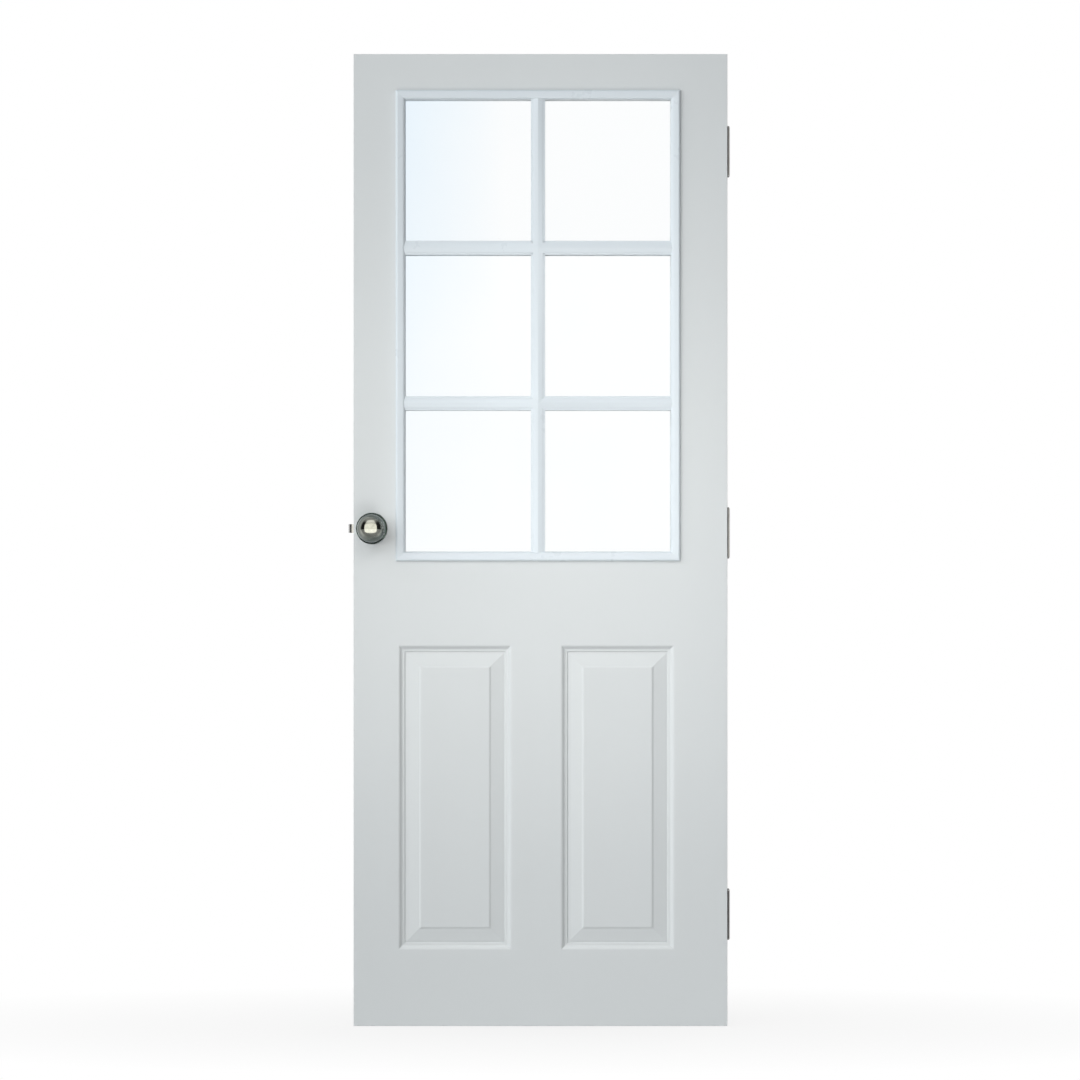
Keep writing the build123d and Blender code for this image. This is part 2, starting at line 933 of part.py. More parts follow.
def hinge_pin():
    """The pin through all the knuckles, with a button at each end."""
    half = hinge_length / 2
    pin = barrel(pin_radius, -half - pin_head_height, half + pin_head_height)
    seat = half + screw_clearance
    for side in (-1, 1):
        pin += barrel(pin_head_radius, *sorted((side * seat, side * (seat + pin_head_height))))
    return pin


def hinge_screws():
    """Four screws through the door's hinge leaf into the stile."""
    one = screw(
        hinge_screw_head_radius, hinge_screw_head_height, hinge_screw_radius, hinge_screw_length
    )
    return Compound([Pos(hinge_edge, y, z) * Rot(Z=-90) * one for y, z in hinge_hole_places()])


def hinge_mortises():
    """The recesses for the hinge leaves in the door's edge."""
    room = recess_clearance
    half = hinge_length / 2 + room
    mortises = None
    for z in hinge_heights.values():
        one = block(
            hinge_edge - hinge_leaf_thickness - room,
            hinge_edge + past,
            barrel_y - hinge_leaf_width - room,
            face + past,
            z - half,
            z + half,
        )
        mortises = one if mortises is None else mortises + one
    return mortises


def hinge_screw_holes():
    """Pilot holes for the hinge screws in the stile, close round their shanks."""
    radius = hinge_screw_radius + running_clearance
    depth = hinge_screw_length + screw_clearance
    holes = None
    for height in hinge_heights.values():
        for y, z in hinge_hole_places():
            one = Pos(hinge_edge, y, height + z) * Rot(Z=-90) * rod(radius, -depth, 0)
            holes = one if holes is None else holes + one
    return holes


def build():
    """Every sub-part of the door, by name."""
    outside_skin = pressed_skin()
    tape = glazing_tape()
    half_cavity = glass_cavity / 2
    inside_knob = at_spindle(knob())
    inside_rose = at_spindle(rose())
    inside_screws = rose_screw_pair()
    inside_grub = at_spindle(grub(grub_radius, 0))
    parts = {
        "outside_skin": outside_skin,
        "inside_skin": other_side(outside_skin) - hinge_mortises(),
        "lock_stile": lock_stile(),
        "hinge_stile": hinge_stile(),
        "top_rail": rail(leaf_height - top_rail_height, leaf_height),
        "bottom_rail": rail(0, bottom_rail_height),
        "lock_block": lock_block(),
        "foam_core": foam_core(),
        "outside_light_frame": outside_light_frame(),
        "inside_light_frame": inside_light_frame(),
        "light_frame_screws": light_screws(),
        "screw_plugs": screw_plugs(),
        "outside_glass": glass_pane(-glass_face, -half_cavity),
        "inside_glass": glass_pane(half_cavity, glass_face),
        "glass_spacer": glass_spacer(),
        "glass_edge_seal": ring(glass_inset, edge_seal, -half_cavity, half_cavity),
        "outside_glazing_tape": tape,
        "inside_glazing_tape": other_side(tape),
        "outside_knob": other_side(inside_knob),
        "inside_knob": inside_knob,
        "outside_rose": other_side(inside_rose),
        "inside_rose": inside_rose,
        "rose_screws": Compound(inside_screws + [other_side(one) for one in inside_screws]),
        "knob_grub_screws": Compound([inside_grub, other_side(inside_grub)]),
        "knob_spindle": spindle(),
        "latch_case": latch_case(),
        "latch_cover": latch_cover(),
        "latch_bolt": latch_bolt(),
        "latch_follower": latch_follower(),
        "latch_springs": latch_springs(),
        "latch_forend": forend(),
        "forend_screws": forend_screws(),
    }
    leaves = {
        "hinge_fixed_leaf": fixed_leaf(),
        "hinge_moving_leaf": moving_leaf(),
        "hinge_pin": hinge_pin(),
        "hinge_screws": hinge_screws(),
    }
    for place, height in hinge_heights.items():
        for name, shape in leaves.items():
            parts[f"{place}_{name}"] = Pos(0, 0, height) * shape
    return parts


if __name__ == "__main__":
    os.makedirs("parts", exist_ok=True)
    for name, shape in build().items():
        export_step(shape, f"parts/{name}.step")
        print(name, len(shape.solids()))
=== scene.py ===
# A panelled front door with six lights over two raised panels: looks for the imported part.
# Metres, +Z up. The outside faces -Y. Sizes in the dictionaries are in millimetres.
import math

import bmesh
import bpy
from mathutils import Matrix, Vector


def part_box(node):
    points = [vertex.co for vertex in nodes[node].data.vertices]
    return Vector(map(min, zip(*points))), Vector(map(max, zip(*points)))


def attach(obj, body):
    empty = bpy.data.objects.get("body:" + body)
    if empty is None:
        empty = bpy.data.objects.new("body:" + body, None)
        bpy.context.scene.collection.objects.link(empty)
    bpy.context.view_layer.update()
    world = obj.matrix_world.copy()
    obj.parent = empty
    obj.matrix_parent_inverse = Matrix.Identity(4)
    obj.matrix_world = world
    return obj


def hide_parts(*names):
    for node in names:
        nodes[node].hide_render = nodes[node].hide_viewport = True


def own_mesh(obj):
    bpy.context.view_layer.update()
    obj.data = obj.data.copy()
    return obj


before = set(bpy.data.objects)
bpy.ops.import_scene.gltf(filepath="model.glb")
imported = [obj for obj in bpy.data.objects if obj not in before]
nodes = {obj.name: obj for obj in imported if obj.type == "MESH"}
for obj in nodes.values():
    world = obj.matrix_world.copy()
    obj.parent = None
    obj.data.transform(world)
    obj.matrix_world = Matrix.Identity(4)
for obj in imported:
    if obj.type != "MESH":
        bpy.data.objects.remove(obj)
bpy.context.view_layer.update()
mm = 0.001
print("frame loaded:", len(nodes), "nodes")


# Camera

view = {"distance": 12.0, "height": 990.5, "across": -1.0, "tall": 2201.2, "sensor": 36.0}


def placeCamera():
    data = bpy.data.cameras.new("doorCamera")
    data.sensor_width = view["sensor"]
    data.lens = view["sensor"] * view["distance"] / (view["tall"] * mm)  # the frame is square
    camera = bpy.data.objects.new("doorCamera", data)
    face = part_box("outside_skin")[0].y
    camera.location = (view["across"] * mm, face - view["distance"], view["height"] * mm)
    camera.rotation_euler = (math.pi / 2, 0, 0)
    bpy.context.scene.collection.objects.link(camera)
    bpy.context.scene.camera = camera


placeCamera()
print("camera placed")


# Light and surroundings

lamps = {
    # name: (place, target, width, height, radiance, beam, colour, what it is kept out of)
    "lowSoftbox": ((0.15, -1.6, 0.35), (0.05, 0, 1.85), 1.0, 1.0, 0.58, 70, (1.0, 0.99, 0.965), "glossy"),
    "highSoftbox": ((0.15, -1.6, 1.9), (0.05, 0, 0.05), 1.0, 1.0, 0.76, 70, (1.0, 0.99, 0.965), "glossy"),
    "window": ((-0.46, -0.75, 1.035), (-0.46, 0, 1.035), 1.78, 1.17, 1.3, 180, (1.0, 0.985, 0.91), "diffuse"),
    "upperWindow": ((-0.46, -0.75, 2.395), (-0.46, 0, 2.395), 1.78, 1.55, 0.75, 180, (1.0, 0.985, 0.93), "diffuse"),
    "rearSoftbox": ((1.3, 2.6, 1.9), (0, 0, 1.0), 1.5, 1.5, 2.4, 180, (1.0, 0.99, 0.97), "glossy"),
}
daylight = {"from": (-1.0, -0.97, 0.45), "spread": 66.0, "strength": 2.25, "colour": (0.965, 0.995, 1.0)}
room = {
    "fill": 0.17, "behind": 0.6, "dark": 0.02, "ceiling": 0.55, "floorDrop": 1.0, "floorSize": 9.0, "floorTone": 0.55,
}


def hangLamp(name, place, target, wide, high, radiance, beam, colour, hiddenFrom):
    data = bpy.data.lights.new(name, "AREA")
    data.shape = "RECTANGLE"
    data.size = wide
    data.size_y = high
    data.energy = radiance * math.pi * wide * high  # an even panel of this radiance
    data.spread = math.radians(beam)
    data.color = colour
    lamp = bpy.data.objects.new(name, data)
    lamp.location = place
    aim = Vector(target) - Vector(place)
    lamp.rotation_euler = aim.to_track_quat("-Z", "Y").to_euler()
    bpy.context.scene.collection.objects.link(lamp)
    lamp.visible_camera = False
    lamp.visible_transmission = False
    lamp.visible_diffuse = hiddenFrom != "diffuse"
    lamp.visible_glossy = hiddenFrom != "glossy"


def hangDaylight():
    # Soft light from far to the left, even over the whole leaf
    data = bpy.data.lights.new("daylight", "SUN")
    data.energy = daylight["strength"]
    data.angle = math.radians(daylight["spread"])
    data.color = daylight["colour"]
    lamp = bpy.data.objects.new("daylight", data)
    lamp.rotation_euler = (-Vector(daylight["from"])).to_track_quat("-Z", "Y").to_euler()
    bpy.context.scene.collection.objects.link(lamp)
    lamp.visible_glossy = False


def link(tree, start, end):
    tree.links.new(start, end)


def mathNode(tree, operation, first, second=None, third=None, clamp=False):
    node = tree.nodes.new("ShaderNodeMath")
    node.operation = operation
    node.use_clamp = clamp
    for i, value in enumerate((first, second, third)):
        if value is None:
            continue
        if isinstance(value, (int, float)):
            node.inputs[i].default_value = value
        else:
            link(tree, value, node.inputs[i])
    return node.outputs[0]


def lightWorld():
    # White behind the door, a soft fill for the paint and a dark room for the metal to mirror
    world = bpy.data.worlds.new("studio")
    world.use_nodes = True
    tree = world.node_tree
    back = tree.nodes["Background"]
    back.inputs["Color"].default_value = (1, 1, 1, 1)
    path = tree.nodes.new("ShaderNodeLightPath")
    place = tree.nodes.new("ShaderNodeTexCoord")
    split = tree.nodes.new("ShaderNodeSeparateXYZ")
    link(tree, place.outputs["Generated"], split.inputs[0])
    behind = mathNode(tree, "MULTIPLY_ADD", split.outputs["Y"], 3.0, 0.2, clamp=True)
    above = mathNode(tree, "MULTIPLY_ADD", split.outputs["Z"], 4.0, -2.6, clamp=True)
    glow = mathNode(tree, "MAXIMUM", behind, mathNode(tree, "MULTIPLY", above, room["ceiling"]))
    mirrored = mathNode(tree, "MULTIPLY_ADD", glow, 1.0 - room["dark"], room["dark"])
    seen = mathNode(tree, "ADD", path.outputs["Is Camera Ray"], path.outputs["Is Transmission Ray"], clamp=True)
    around = mathNode(tree, "MULTIPLY_ADD", behind, room["behind"] - room["fill"], room["fill"])
    lit = tree.nodes.new("ShaderNodeMix")
    link(tree, around, lit.inputs["A"])
    link(tree, path.outputs["Is Glossy Ray"], lit.inputs["Factor"])
    link(tree, mirrored, lit.inputs["B"])
    final = tree.nodes.new("ShaderNodeMix")
    link(tree, seen, final.inputs["Factor"])
    link(tree, lit.outputs["Result"], final.inputs["A"])
    final.inputs["B"].default_value = 1.0
    link(tree, final.outputs["Result"], back.inputs["Strength"])
    bpy.context.scene.world = world


def layFloor():
    mesh = bpy.data.meshes.new("floor")
    bm = bmesh.new()
    bmesh.ops.create_grid(bm, x_segments=1, y_segments=1, size=room["floorSize"])
    bm.to_mesh(mesh)
    bm.free()
    material = bpy.data.materials.new("paleFloor")
    material.use_nodes = True
    tree = material.node_tree
    shader = tree.nodes["Principled BSDF"]
    shader.inputs["Base Color"].default_value = (room["floorTone"],) * 3 + (1,)
    shader.inputs["Roughness"].default_value = 0.9
    glow = tree.nodes.new("ShaderNodeEmission")
    path = tree.nodes.new("ShaderNodeLightPath")
    place = tree.nodes.new("ShaderNodeTexCoord")
    near = tree.nodes.new("ShaderNodeTexGradient")
    near.gradient_type = "SPHERICAL"
    spread = tree.nodes.new("ShaderNodeMapping")
    spread.inputs["Scale"].default_value = (0.62, 0.9, 1.0)
    link(tree, place.outputs["Object"], spread.inputs["Vector"])
    link(tree, spread.outputs["Vector"], near.inputs["Vector"])
    split = tree.nodes.new("ShaderNodeSeparateXYZ")
    link(tree, place.outputs["Object"], split.inputs[0])
    behind = mathNode(tree, "MULTIPLY_ADD", split.outputs["Y"], 2.0, 1.0, clamp=True)
    mirrored = mathNode(tree, "MULTIPLY", path.outputs["Is Glossy Ray"], behind)
    through = mathNode(tree, "MAXIMUM", path.outputs["Is Transmission Ray"], mirrored)
    seen = mathNode(tree, "MAXIMUM", path.outputs["Is Camera Ray"], through)
    far = mathNode(tree, "SUBTRACT", 1.0, near.outputs["Fac"], clamp=True)
    white = mathNode(tree, "MULTIPLY", seen, mathNode(tree, "MULTIPLY_ADD", far, 0.2, 0.8))
    mix = tree.nodes.new("ShaderNodeMixShader")
    link(tree, white, mix.inputs["Fac"])
    link(tree, shader.outputs[0], mix.inputs[1])
    link(tree, glow.outputs[0], mix.inputs[2])
    link(tree, mix.outputs[0], tree.nodes["Material Output"].inputs["Surface"])
    mesh.materials.append(material)
    floor = bpy.data.objects.new("floor", mesh)
    floor.location = (0, 0, -room["floorDrop"] * mm)
    bpy.context.scene.collection.objects.link(floor)


for lampName, facts in lamps.items():
    hangLamp(lampName, *facts)
hangDaylight()
lightWorld()
layFloor()
settings = bpy.context.scene.view_settings
settings.view_transform = "Standard"
print("light and floor ready")


# Shared effects, as node groups


def newGroup(name, takes, gives):
    group = bpy.data.node_groups.new(name, "ShaderNodeTree")
    kinds = {"colour": "NodeSocketColor", "number": "NodeSocketFloat", "vector": "NodeSocketVector"}
    for label, kind, value in takes:
        socket = group.interface.new_socket(label, in_out="INPUT", socket_type=kinds[kind])
        if value is not None:
            socket.default_value = value
    for label, kind in gives:
        group.interface.new_socket(label, in_out="OUTPUT", socket_type=kinds[kind])
    return group, group.nodes.new("NodeGroupInput").outputs, group.nodes.new("NodeGroupOutput").inputs


def noiseNode(tree, vector, scale, detail=2.0, rough=0.5):
    node = tree.nodes.new("ShaderNodeTexNoise")
    node.inputs["Scale"].default_value = scale
    node.inputs["Detail"].default_value = detail
    node.inputs["Roughness"].default_value = rough
    if vector is not None:
        link(tree, vector, node.inputs["Vector"])
    return node.outputs["Fac"]


def stretched(tree, vector, scale):
    node = tree.nodes.new("ShaderNodeMapping")
    node.inputs["Scale"].default_value = scale
    link(tree, vector, node.inputs["Vector"])
    return node.outputs["Vector"]


def tinted(tree, factor, first, second, blend="MIX"):
    node = tree.nodes.new("ShaderNodeMix")
    node.data_type = "RGBA"
    node.blend_type = blend
    for socket, value in ((node.inputs["Factor"], factor), (node.inputs[6], first), (node.inputs[7], second)):
        if isinstance(value, (int, float)):
            socket.default_value = value
        elif isinstance(value, tuple):
            socket.default_value = value + (1,) * (4 - len(value))
        else:
            link(tree, value, socket)
    return node.outputs[2]


def ranged(tree, value, low, high, start, end):
    node = tree.nodes.new("ShaderNodeMapRange")
    for label, number in (("From Min", low), ("From Max", high), ("To Min", start), ("To Max", end)):
        if isinstance(number, (int, float)):
            node.inputs[label].default_value = number
        else:
            link(tree, number, node.inputs[label])
    link(tree, value, node.inputs["Value"])
    return node.outputs["Result"]


def grey(tree, value):
    node = tree.nodes.new("ShaderNodeCombineColor")
    for socket in node.inputs[:3]:
        link(tree, value, socket)
    return node.outputs[0]


def paintFilmGroup():
    # A sprayed or moulded satin skin: faint tone drift, painted shade with dust in the deepest recesses, and orange
    # peel
    group, take, give = newGroup(
        "paintFilm",
        [("Colour", "colour", (0.7, 0.7, 0.7, 1)), ("Roughness", "number", 0.4), ("Drift", "number", 0.03),
         ("Soil", "number", 0.1), ("Valley", "number", 0.0), ("Peel", "number", 1.0)],
        [("Colour", "colour"), ("Roughness", "number"), ("Height", "number")],
    )
    place = group.nodes.new("ShaderNodeTexCoord").outputs["Object"]
    drift = ranged(group, noiseNode(group, place, 2.3, 3.0), 0.3, 0.7, -0.5, 0.5)
    tone = mathNode(group, "MULTIPLY_ADD", drift, take["Drift"], 1.0)
    shaded = tinted(group, 1.0, take["Colour"], grey(group, tone), "MULTIPLY")
    dust = ranged(group, noiseNode(group, stretched(group, place, (1, 1, 0.35)), 60, 4.0, 0.6), 0.35, 0.75, 0.3, 1.0)
    # Painted shade with dust: the deepest parts of the relief go towards a dark brown, broken up by a dusty noise
    recessShadeAndDust = mathNode(group, "MULTIPLY", mathNode(group, "MULTIPLY", dust, take["Valley"]), take["Soil"], clamp=True)
    link(group, tinted(group, recessShadeAndDust, shaded, (0.16, 0.15, 0.13)), give["Colour"])
    handled = ranged(group, noiseNode(group, place, 14, 4.0, 0.6), 0.3, 0.7, -0.035, 0.035)
    rough = mathNode(group, "ADD", take["Roughness"], handled)
    link(group, mathNode(group, "ADD", rough, mathNode(group, "MULTIPLY", recessShadeAndDust, 0.6), clamp=True), give["Roughness"])
    peel = noiseNode(group, place, 620, 1.0)
    wave = noiseNode(group, place, 7.5, 1.0)
    height = mathNode(group, "ADD", mathNode(group, "MULTIPLY", peel, take["Peel"]), mathNode(group, "MULTIPLY", wave, 6.0))
    link(group, height, give["Height"])
    return group


def metalWearGroup():
    # Drawn or polished metal: fine lines along one way, smudges and a worn or tarnished tone
    group, take, give = newGroup(
        "metalWear",
        [("Vector", "vector", None), ("Colour", "colour", (0.6, 0.6, 0.6, 1)), ("Tarnish", "colour", (0.2, 0.2, 0.2, 1)),
         ("Tarnished", "number", 0.2), ("Roughness", "number", 0.3), ("Smudge", "number", 0.1), ("Lines", "number", 0.2)],
        [("Colour", "colour"), ("Roughness", "number"), ("Height", "number")],
    )
    place = take["Vector"]
    lines = noiseNode(group, stretched(group, place, (1.0, 1.0, 0.03)), 2600, 2.0, 0.7)
    cloud = ranged(group, noiseNode(group, place, 90, 5.0, 0.65), 0.35, 0.7, 0.0, 1.0)
    spots = ranged(group, noiseNode(group, place, 420, 3.0, 0.6), 0.55, 0.8, 0.0, 1.0)
    patch = mathNode(group, "MULTIPLY", mathNode(group, "MAXIMUM", cloud, spots), take["Tarnished"], clamp=True)
    link(group, tinted(group, patch, take["Colour"], take["Tarnish"]), give["Colour"])
    worn = mathNode(group, "MULTIPLY_ADD", cloud, take["Smudge"], take["Roughness"])
    drawn = mathNode(group, "MULTIPLY", mathNode(group, "SUBTRACT", lines, 0.5), take["Lines"])
    link(group, mathNode(group, "ADD", worn, drawn, clamp=True), give["Roughness"])
    link(group, mathNode(group, "MULTIPLY", lines, take["Lines"]), give["Height"])
    return group


def timberGrainGroup():
    # Sawn softwood whose trunk ran along the vector's Z: rings on the ends, straight grain on the sides
    group, take, give = newGroup(
        "timberGrain",
        [("Vector", "vector", None), ("Early", "colour", (0.62, 0.44, 0.26, 1)), ("Late", "colour", (0.42, 0.24, 0.11, 1)),
         ("Ring Width", "number", 0.0035)],
        [("Colour", "colour"), ("Roughness", "number"), ("Height", "number")],
    )
    place = take["Vector"]
    bend = noiseNode(group, stretched(group, place, (1, 1, 0.12)), 9, 3.0)
    flat = group.nodes.new("ShaderNodeVectorMath")
    flat.operation = "MULTIPLY"
    flat.inputs[1].default_value = (1, 1, 0)
    link(group, place, flat.inputs[0])
    reach = group.nodes.new("ShaderNodeVectorMath")
    reach.operation = "LENGTH"
    link(group, flat.outputs["Vector"], reach.inputs[0])
    bent = mathNode(group, "MULTIPLY_ADD", bend, 0.02, reach.outputs["Value"])
    ring = mathNode(group, "FRACT", mathNode(group, "DIVIDE", bent, take["Ring Width"]))
    year = ranged(group, noiseNode(group, stretched(group, place, (1, 1, 0.06)), 75, 2.0), 0.35, 0.65, 0.25, 1.0)
    rise = mathNode(group, "POWER", ring, 2.2)
    edge = ranged(group, ring, 0.9, 1.0, 1.0, 0.0)
    late = mathNode(group, "MULTIPLY", mathNode(group, "MULTIPLY", rise, edge), year)
    fibre = noiseNode(group, stretched(group, place, (1, 1, 0.02)), 1500, 3.0, 0.7)
    fleck = ranged(group, fibre, 0.3, 0.7, -0.16, 0.16)
    wood = tinted(group, mathNode(group, "ADD", late, fleck, clamp=True), take["Early"], take["Late"])
    link(group, wood, give["Colour"])
    link(group, ranged(group, late, 0.0, 1.0, 0.72, 0.55), give["Roughness"])
    link(group, mathNode(group, "MULTIPLY_ADD", late, 0.5, mathNode(group, "MULTIPLY", fibre, 0.7)), give["Height"])
    return group


def cellsGroup():
    # Blown foam or filled rubber: packed cells with darker walls
    group, take, give = newGroup(
        "cells",
        [("Colour", "colour", (0.5, 0.5, 0.5, 1)), ("Scale", "number", 900.0), ("Depth", "number", 0.3),
         ("Roughness", "number", 0.85)],
        [("Colour", "colour"), ("Roughness", "number"), ("Height", "number")],
    )
    place = group.nodes.new("ShaderNodeTexCoord").outputs["Object"]
    cell = group.nodes.new("ShaderNodeTexVoronoi")
    link(group, place, cell.inputs["Vector"])
    link(group, take["Scale"], cell.inputs["Scale"])
    deep = mathNode(group, "MULTIPLY", cell.outputs["Distance"], take["Depth"], clamp=True)
    shade = mathNode(group, "SUBTRACT", 1.0, deep)
    link(group, tinted(group, 1.0, take["Colour"], grey(group, shade), "MULTIPLY"), give["Colour"])
    link(group, mathNode(group, "MULTIPLY_ADD", deep, 0.2, take["Roughness"], clamp=True), give["Roughness"])
    link(group, cell.outputs["Distance"], give["Height"])
    return group


paintFilm = paintFilmGroup()
metalWear = metalWearGroup()
timberGrain = timberGrainGroup()
cells = cellsGroup()


# Finishes


def newFinish(name, group, relief, constants, **values):
    # One material: a shared effect with this finish's own values, into a Principled shader
    material = bpy.data.materials.new(name)
    material.use_nodes = True
    tree = material.node_tree
    shader = tree.nodes["Principled BSDF"]
    for label, value in constants.items():
        shader.inputs[label].default_value = value
    effect = tree.nodes.new("ShaderNodeGroup")
    effect.node_tree = group
    for label, value in values.items():
        effect.inputs[label.replace("_", " ")].default_value = value
    link(tree, effect.outputs["Colour"], shader.inputs["Base Color"])
    link(tree, effect.outputs["Roughness"], shader.inputs["Roughness"])
    bump = tree.nodes.new("ShaderNodeBump")
    bump.inputs["Distance"].default_value = relief * mm
    link(tree, effect.outputs["Height"], bump.inputs["Height"])
    link(tree, bump.outputs["Normal"], shader.inputs["Normal"])
    return material, tree, effect, shader


def objectVector(tree, effect, turn=(0, 0, 0), centre=(0, 0, 0)):
    # Runs an effect along another way: the pattern's Z is turned to the piece's own length
    place = tree.nodes.new("ShaderNodeTexCoord")
    mapping = tree.nodes.new("ShaderNodeMapping")
    mapping.vector_type = "TEXTURE"
    mapping.inputs["Location"].default_value = centre
    mapping.inputs["Rotation"].default_value = turn
    link(tree, place.outputs["Object"], mapping.inputs["Vector"])
    link(tree, mapping.outputs["Vector"], effect.inputs["Vector"])


def valleyMask(tree, effect, top, bottom):
    # How deep a point of either face lies in the relief, from the distance to the leaf's middle; it places the painted
    # shade
    place = tree.nodes.new("ShaderNodeTexCoord")
    split = tree.nodes.new("ShaderNodeSeparateXYZ")
    link(tree, place.outputs["Object"], split.inputs[0])
    away = mathNode(tree, "ABSOLUTE", split.outputs["Y"])
    link(tree, ranged(tree, away, top * mm, bottom * mm, 0.0, 1.0), effect.inputs["Valley"])


finishes = {
    "skinPaint": (0.69, 0.717, 0.73, 1),
    "framePlastic": (0.73, 0.79, 0.84, 1),
    "polishedNickel": (0.62, 0.62, 0.56, 1),
    "darkNickel": (0.055, 0.075, 0.07, 1),
    "brightSteel": (0.62, 0.62, 0.61, 1),
    "satinSteel": (0.48, 0.48, 0.47, 1),
    "brass": (0.72, 0.52, 0.24, 1),
    "zincSteel": (0.55, 0.56, 0.57, 1),
}


def skinPaint():
    material, tree, effect, shader = newFinish(
        "skinPaint", paintFilm, 0.012, {"Specular IOR Level": 0.45},
        Colour=finishes["skinPaint"], Roughness=0.42, Drift=0.02, Soil=0.06, Peel=1.0,
    )
    # Painted shade with dust along the valleys round the raised panels
    valleyMask(tree, effect, 15.5, 14.7)
    return material


def framePlastic():
    material, tree, effect, shader = newFinish(
        "framePlastic", paintFilm, 0.006, {"Specular IOR Level": 0.5},
        Colour=finishes["framePlastic"], Roughness=0.3, Drift=0.012, Soil=0.3, Peel=0.8,
    )
    # Painted shade with dust on the frame's and bars' walls down to the glass
    valleyMask(tree, effect, 22.6, 21.6)
    return material


def softwood(name, turn, centre):
    material, tree, effect, shader = newFinish(
        name, timberGrain, 0.03, {"Specular IOR Level": 0.3},
        Early=(0.68, 0.5, 0.31, 1), Late=(0.47, 0.28, 0.13, 1), Ring_Width=0.0038,
    )
    objectVector(tree, effect, turn, centre)
    return material


def metal(name, colour, tarnish, tarnished, rough, smudge, lines, turn=(0, 0, 0), relief=0.004):
    material, tree, effect, shader = newFinish(
        name, metalWear, relief, {"Metallic": 1.0},
        Colour=colour, Tarnish=tarnish, Tarnished=tarnished, Roughness=rough, Smudge=smudge, Lines=lines,
    )
    objectVector(tree, effect, turn)
    return material


def celled(name, colour, scale, depth, rough, relief):
    return newFinish(
        name, cells, relief, {"Specular IOR Level": 0.3}, Colour=colour, Scale=scale, Depth=depth, Roughness=rough
    )[0]


def clearGlass():
    # Clear glass with a faint cool tint towards the lock side and the top; lamps shine through it
    material = bpy.data.materials.new("clearGlass")
    material.use_nodes = True
    tree = material.node_tree
    shader = tree.nodes["Principled BSDF"]
    shader.inputs["Transmission Weight"].default_value = 1.0
    shader.inputs["IOR"].default_value = 1.5
    place = tree.nodes.new("ShaderNodeTexCoord").outputs["Object"]
    low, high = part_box("outside_glass")
    split = tree.nodes.new("ShaderNodeSeparateXYZ")
    link(tree, place, split.inputs[0])
    aside = ranged(tree, split.outputs["X"], low.x, low.x / 4, 1.0, 0.0)
    upper = ranged(tree, split.outputs["Z"], low.z, high.z, 0.15, 1.0)
    cast = mathNode(tree, "MULTIPLY_ADD", mathNode(tree, "SUBTRACT", noiseNode(tree, place, 3.0, 3.0), 0.5), 0.5,
                    mathNode(tree, "MULTIPLY", aside, upper), clamp=True)
    link(tree, tinted(tree, cast, (0.99, 0.997, 1.0), (0.90, 0.955, 0.995)), shader.inputs["Base Color"])
    link(tree, ranged(tree, noiseNode(tree, place, 22, 5.0, 0.65), 0.5, 0.8, 0.0, 0.012), shader.inputs["Roughness"])
    path = tree.nodes.new("ShaderNodeLightPath")
    through = tree.nodes.new("ShaderNodeBsdfTransparent")
    through.inputs["Color"].default_value = (0.93, 0.96, 0.97, 1)
    mix = tree.nodes.new("ShaderNodeMixShader")
    link(tree, path.outputs["Is Shadow Ray"], mix.inputs["Fac"])
    link(tree, shader.outputs[0], mix.inputs[1])
    link(tree, through.outputs[0], mix.inputs[2])
    link(tree, mix.outputs[0], tree.nodes["Material Output"].inputs["Surface"])
    return material


def knobNickel():
    # Polished nickel with a painted dark reflection towards each knob's sides and over its lower half; the roses' rims
    # and lower parts take it too
    material, tree, effect, shader = newFinish(
        "knobNickel", metalWear, 0.002, {"Metallic": 1.0},
        Tarnish=finishes["darkNickel"], Tarnished=0.3, Roughness=0.06, Smudge=0.06, Lines=0.01,
    )
    objectVector(tree, effect)
    place = tree.nodes.new("ShaderNodeTexCoord")
    split = tree.nodes.new("ShaderNodeSeparateXYZ")
    link(tree, place.outputs["Object"], split.inputs[0])
    low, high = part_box("outside_knob")
    x = mathNode(tree, "SUBTRACT", split.outputs["X"], (low.x + high.x) / 2)
    z = mathNode(tree, "SUBTRACT", split.outputs["Z"], (low.z + high.z) / 2)
    out = mathNode(tree, "SQRT", mathNode(tree, "ADD", mathNode(tree, "MULTIPLY", x, x), mathNode(tree, "MULTIPLY", z, z)))
    radius = (high.x - low.x) / 2
    # Painted reflection: darker towards the rim and over the lower half, standing in for a dark room and floor
    # mirrored in the metal
    paintedRimReflection = ranged(tree, out, radius * 0.5, radius * 0.98, 0.0, 1.0)
    paintedLowerReflection = ranged(tree, z, -7.0 * mm, -19.0 * mm, 0.0, 0.82)
    dark = mathNode(tree, "MAXIMUM", paintedRimReflection, paintedLowerReflection)
    link(tree, tinted(tree, dark, finishes["polishedNickel"], finishes["darkNickel"]), effect.inputs["Colour"])
    return material


paint = skinPaint()
plastic = framePlastic()
stileWood = softwood("stileWood", (0, 0, 0), (0.46, -0.09, 0))
lockStileWood = softwood("lockStileWood", (0, 0, 0), (-0.44, 0.08, 0))
railWood = softwood("railWood", (0, math.pi / 2, 0), (0, 0.06, -0.05))
glass = clearGlass()
nickel = knobNickel()
steel = metal("hingeSteel", finishes["satinSteel"], (0.2, 0.19, 0.17, 1), 0.25, 0.28, 0.14, 0.16)
latchNickel = metal("latchNickel", finishes["brightSteel"], (0.3, 0.29, 0.27, 1), 0.18, 0.18, 0.12, 0.12)
caseSteel = metal("latchSteel", finishes["zincSteel"], (0.3, 0.32, 0.34, 1), 0.3, 0.35, 0.15, 0.08)
screwSteel = metal("screwSteel", finishes["zincSteel"], (0.22, 0.22, 0.2, 1), 0.22, 0.25, 0.12, 0.05)
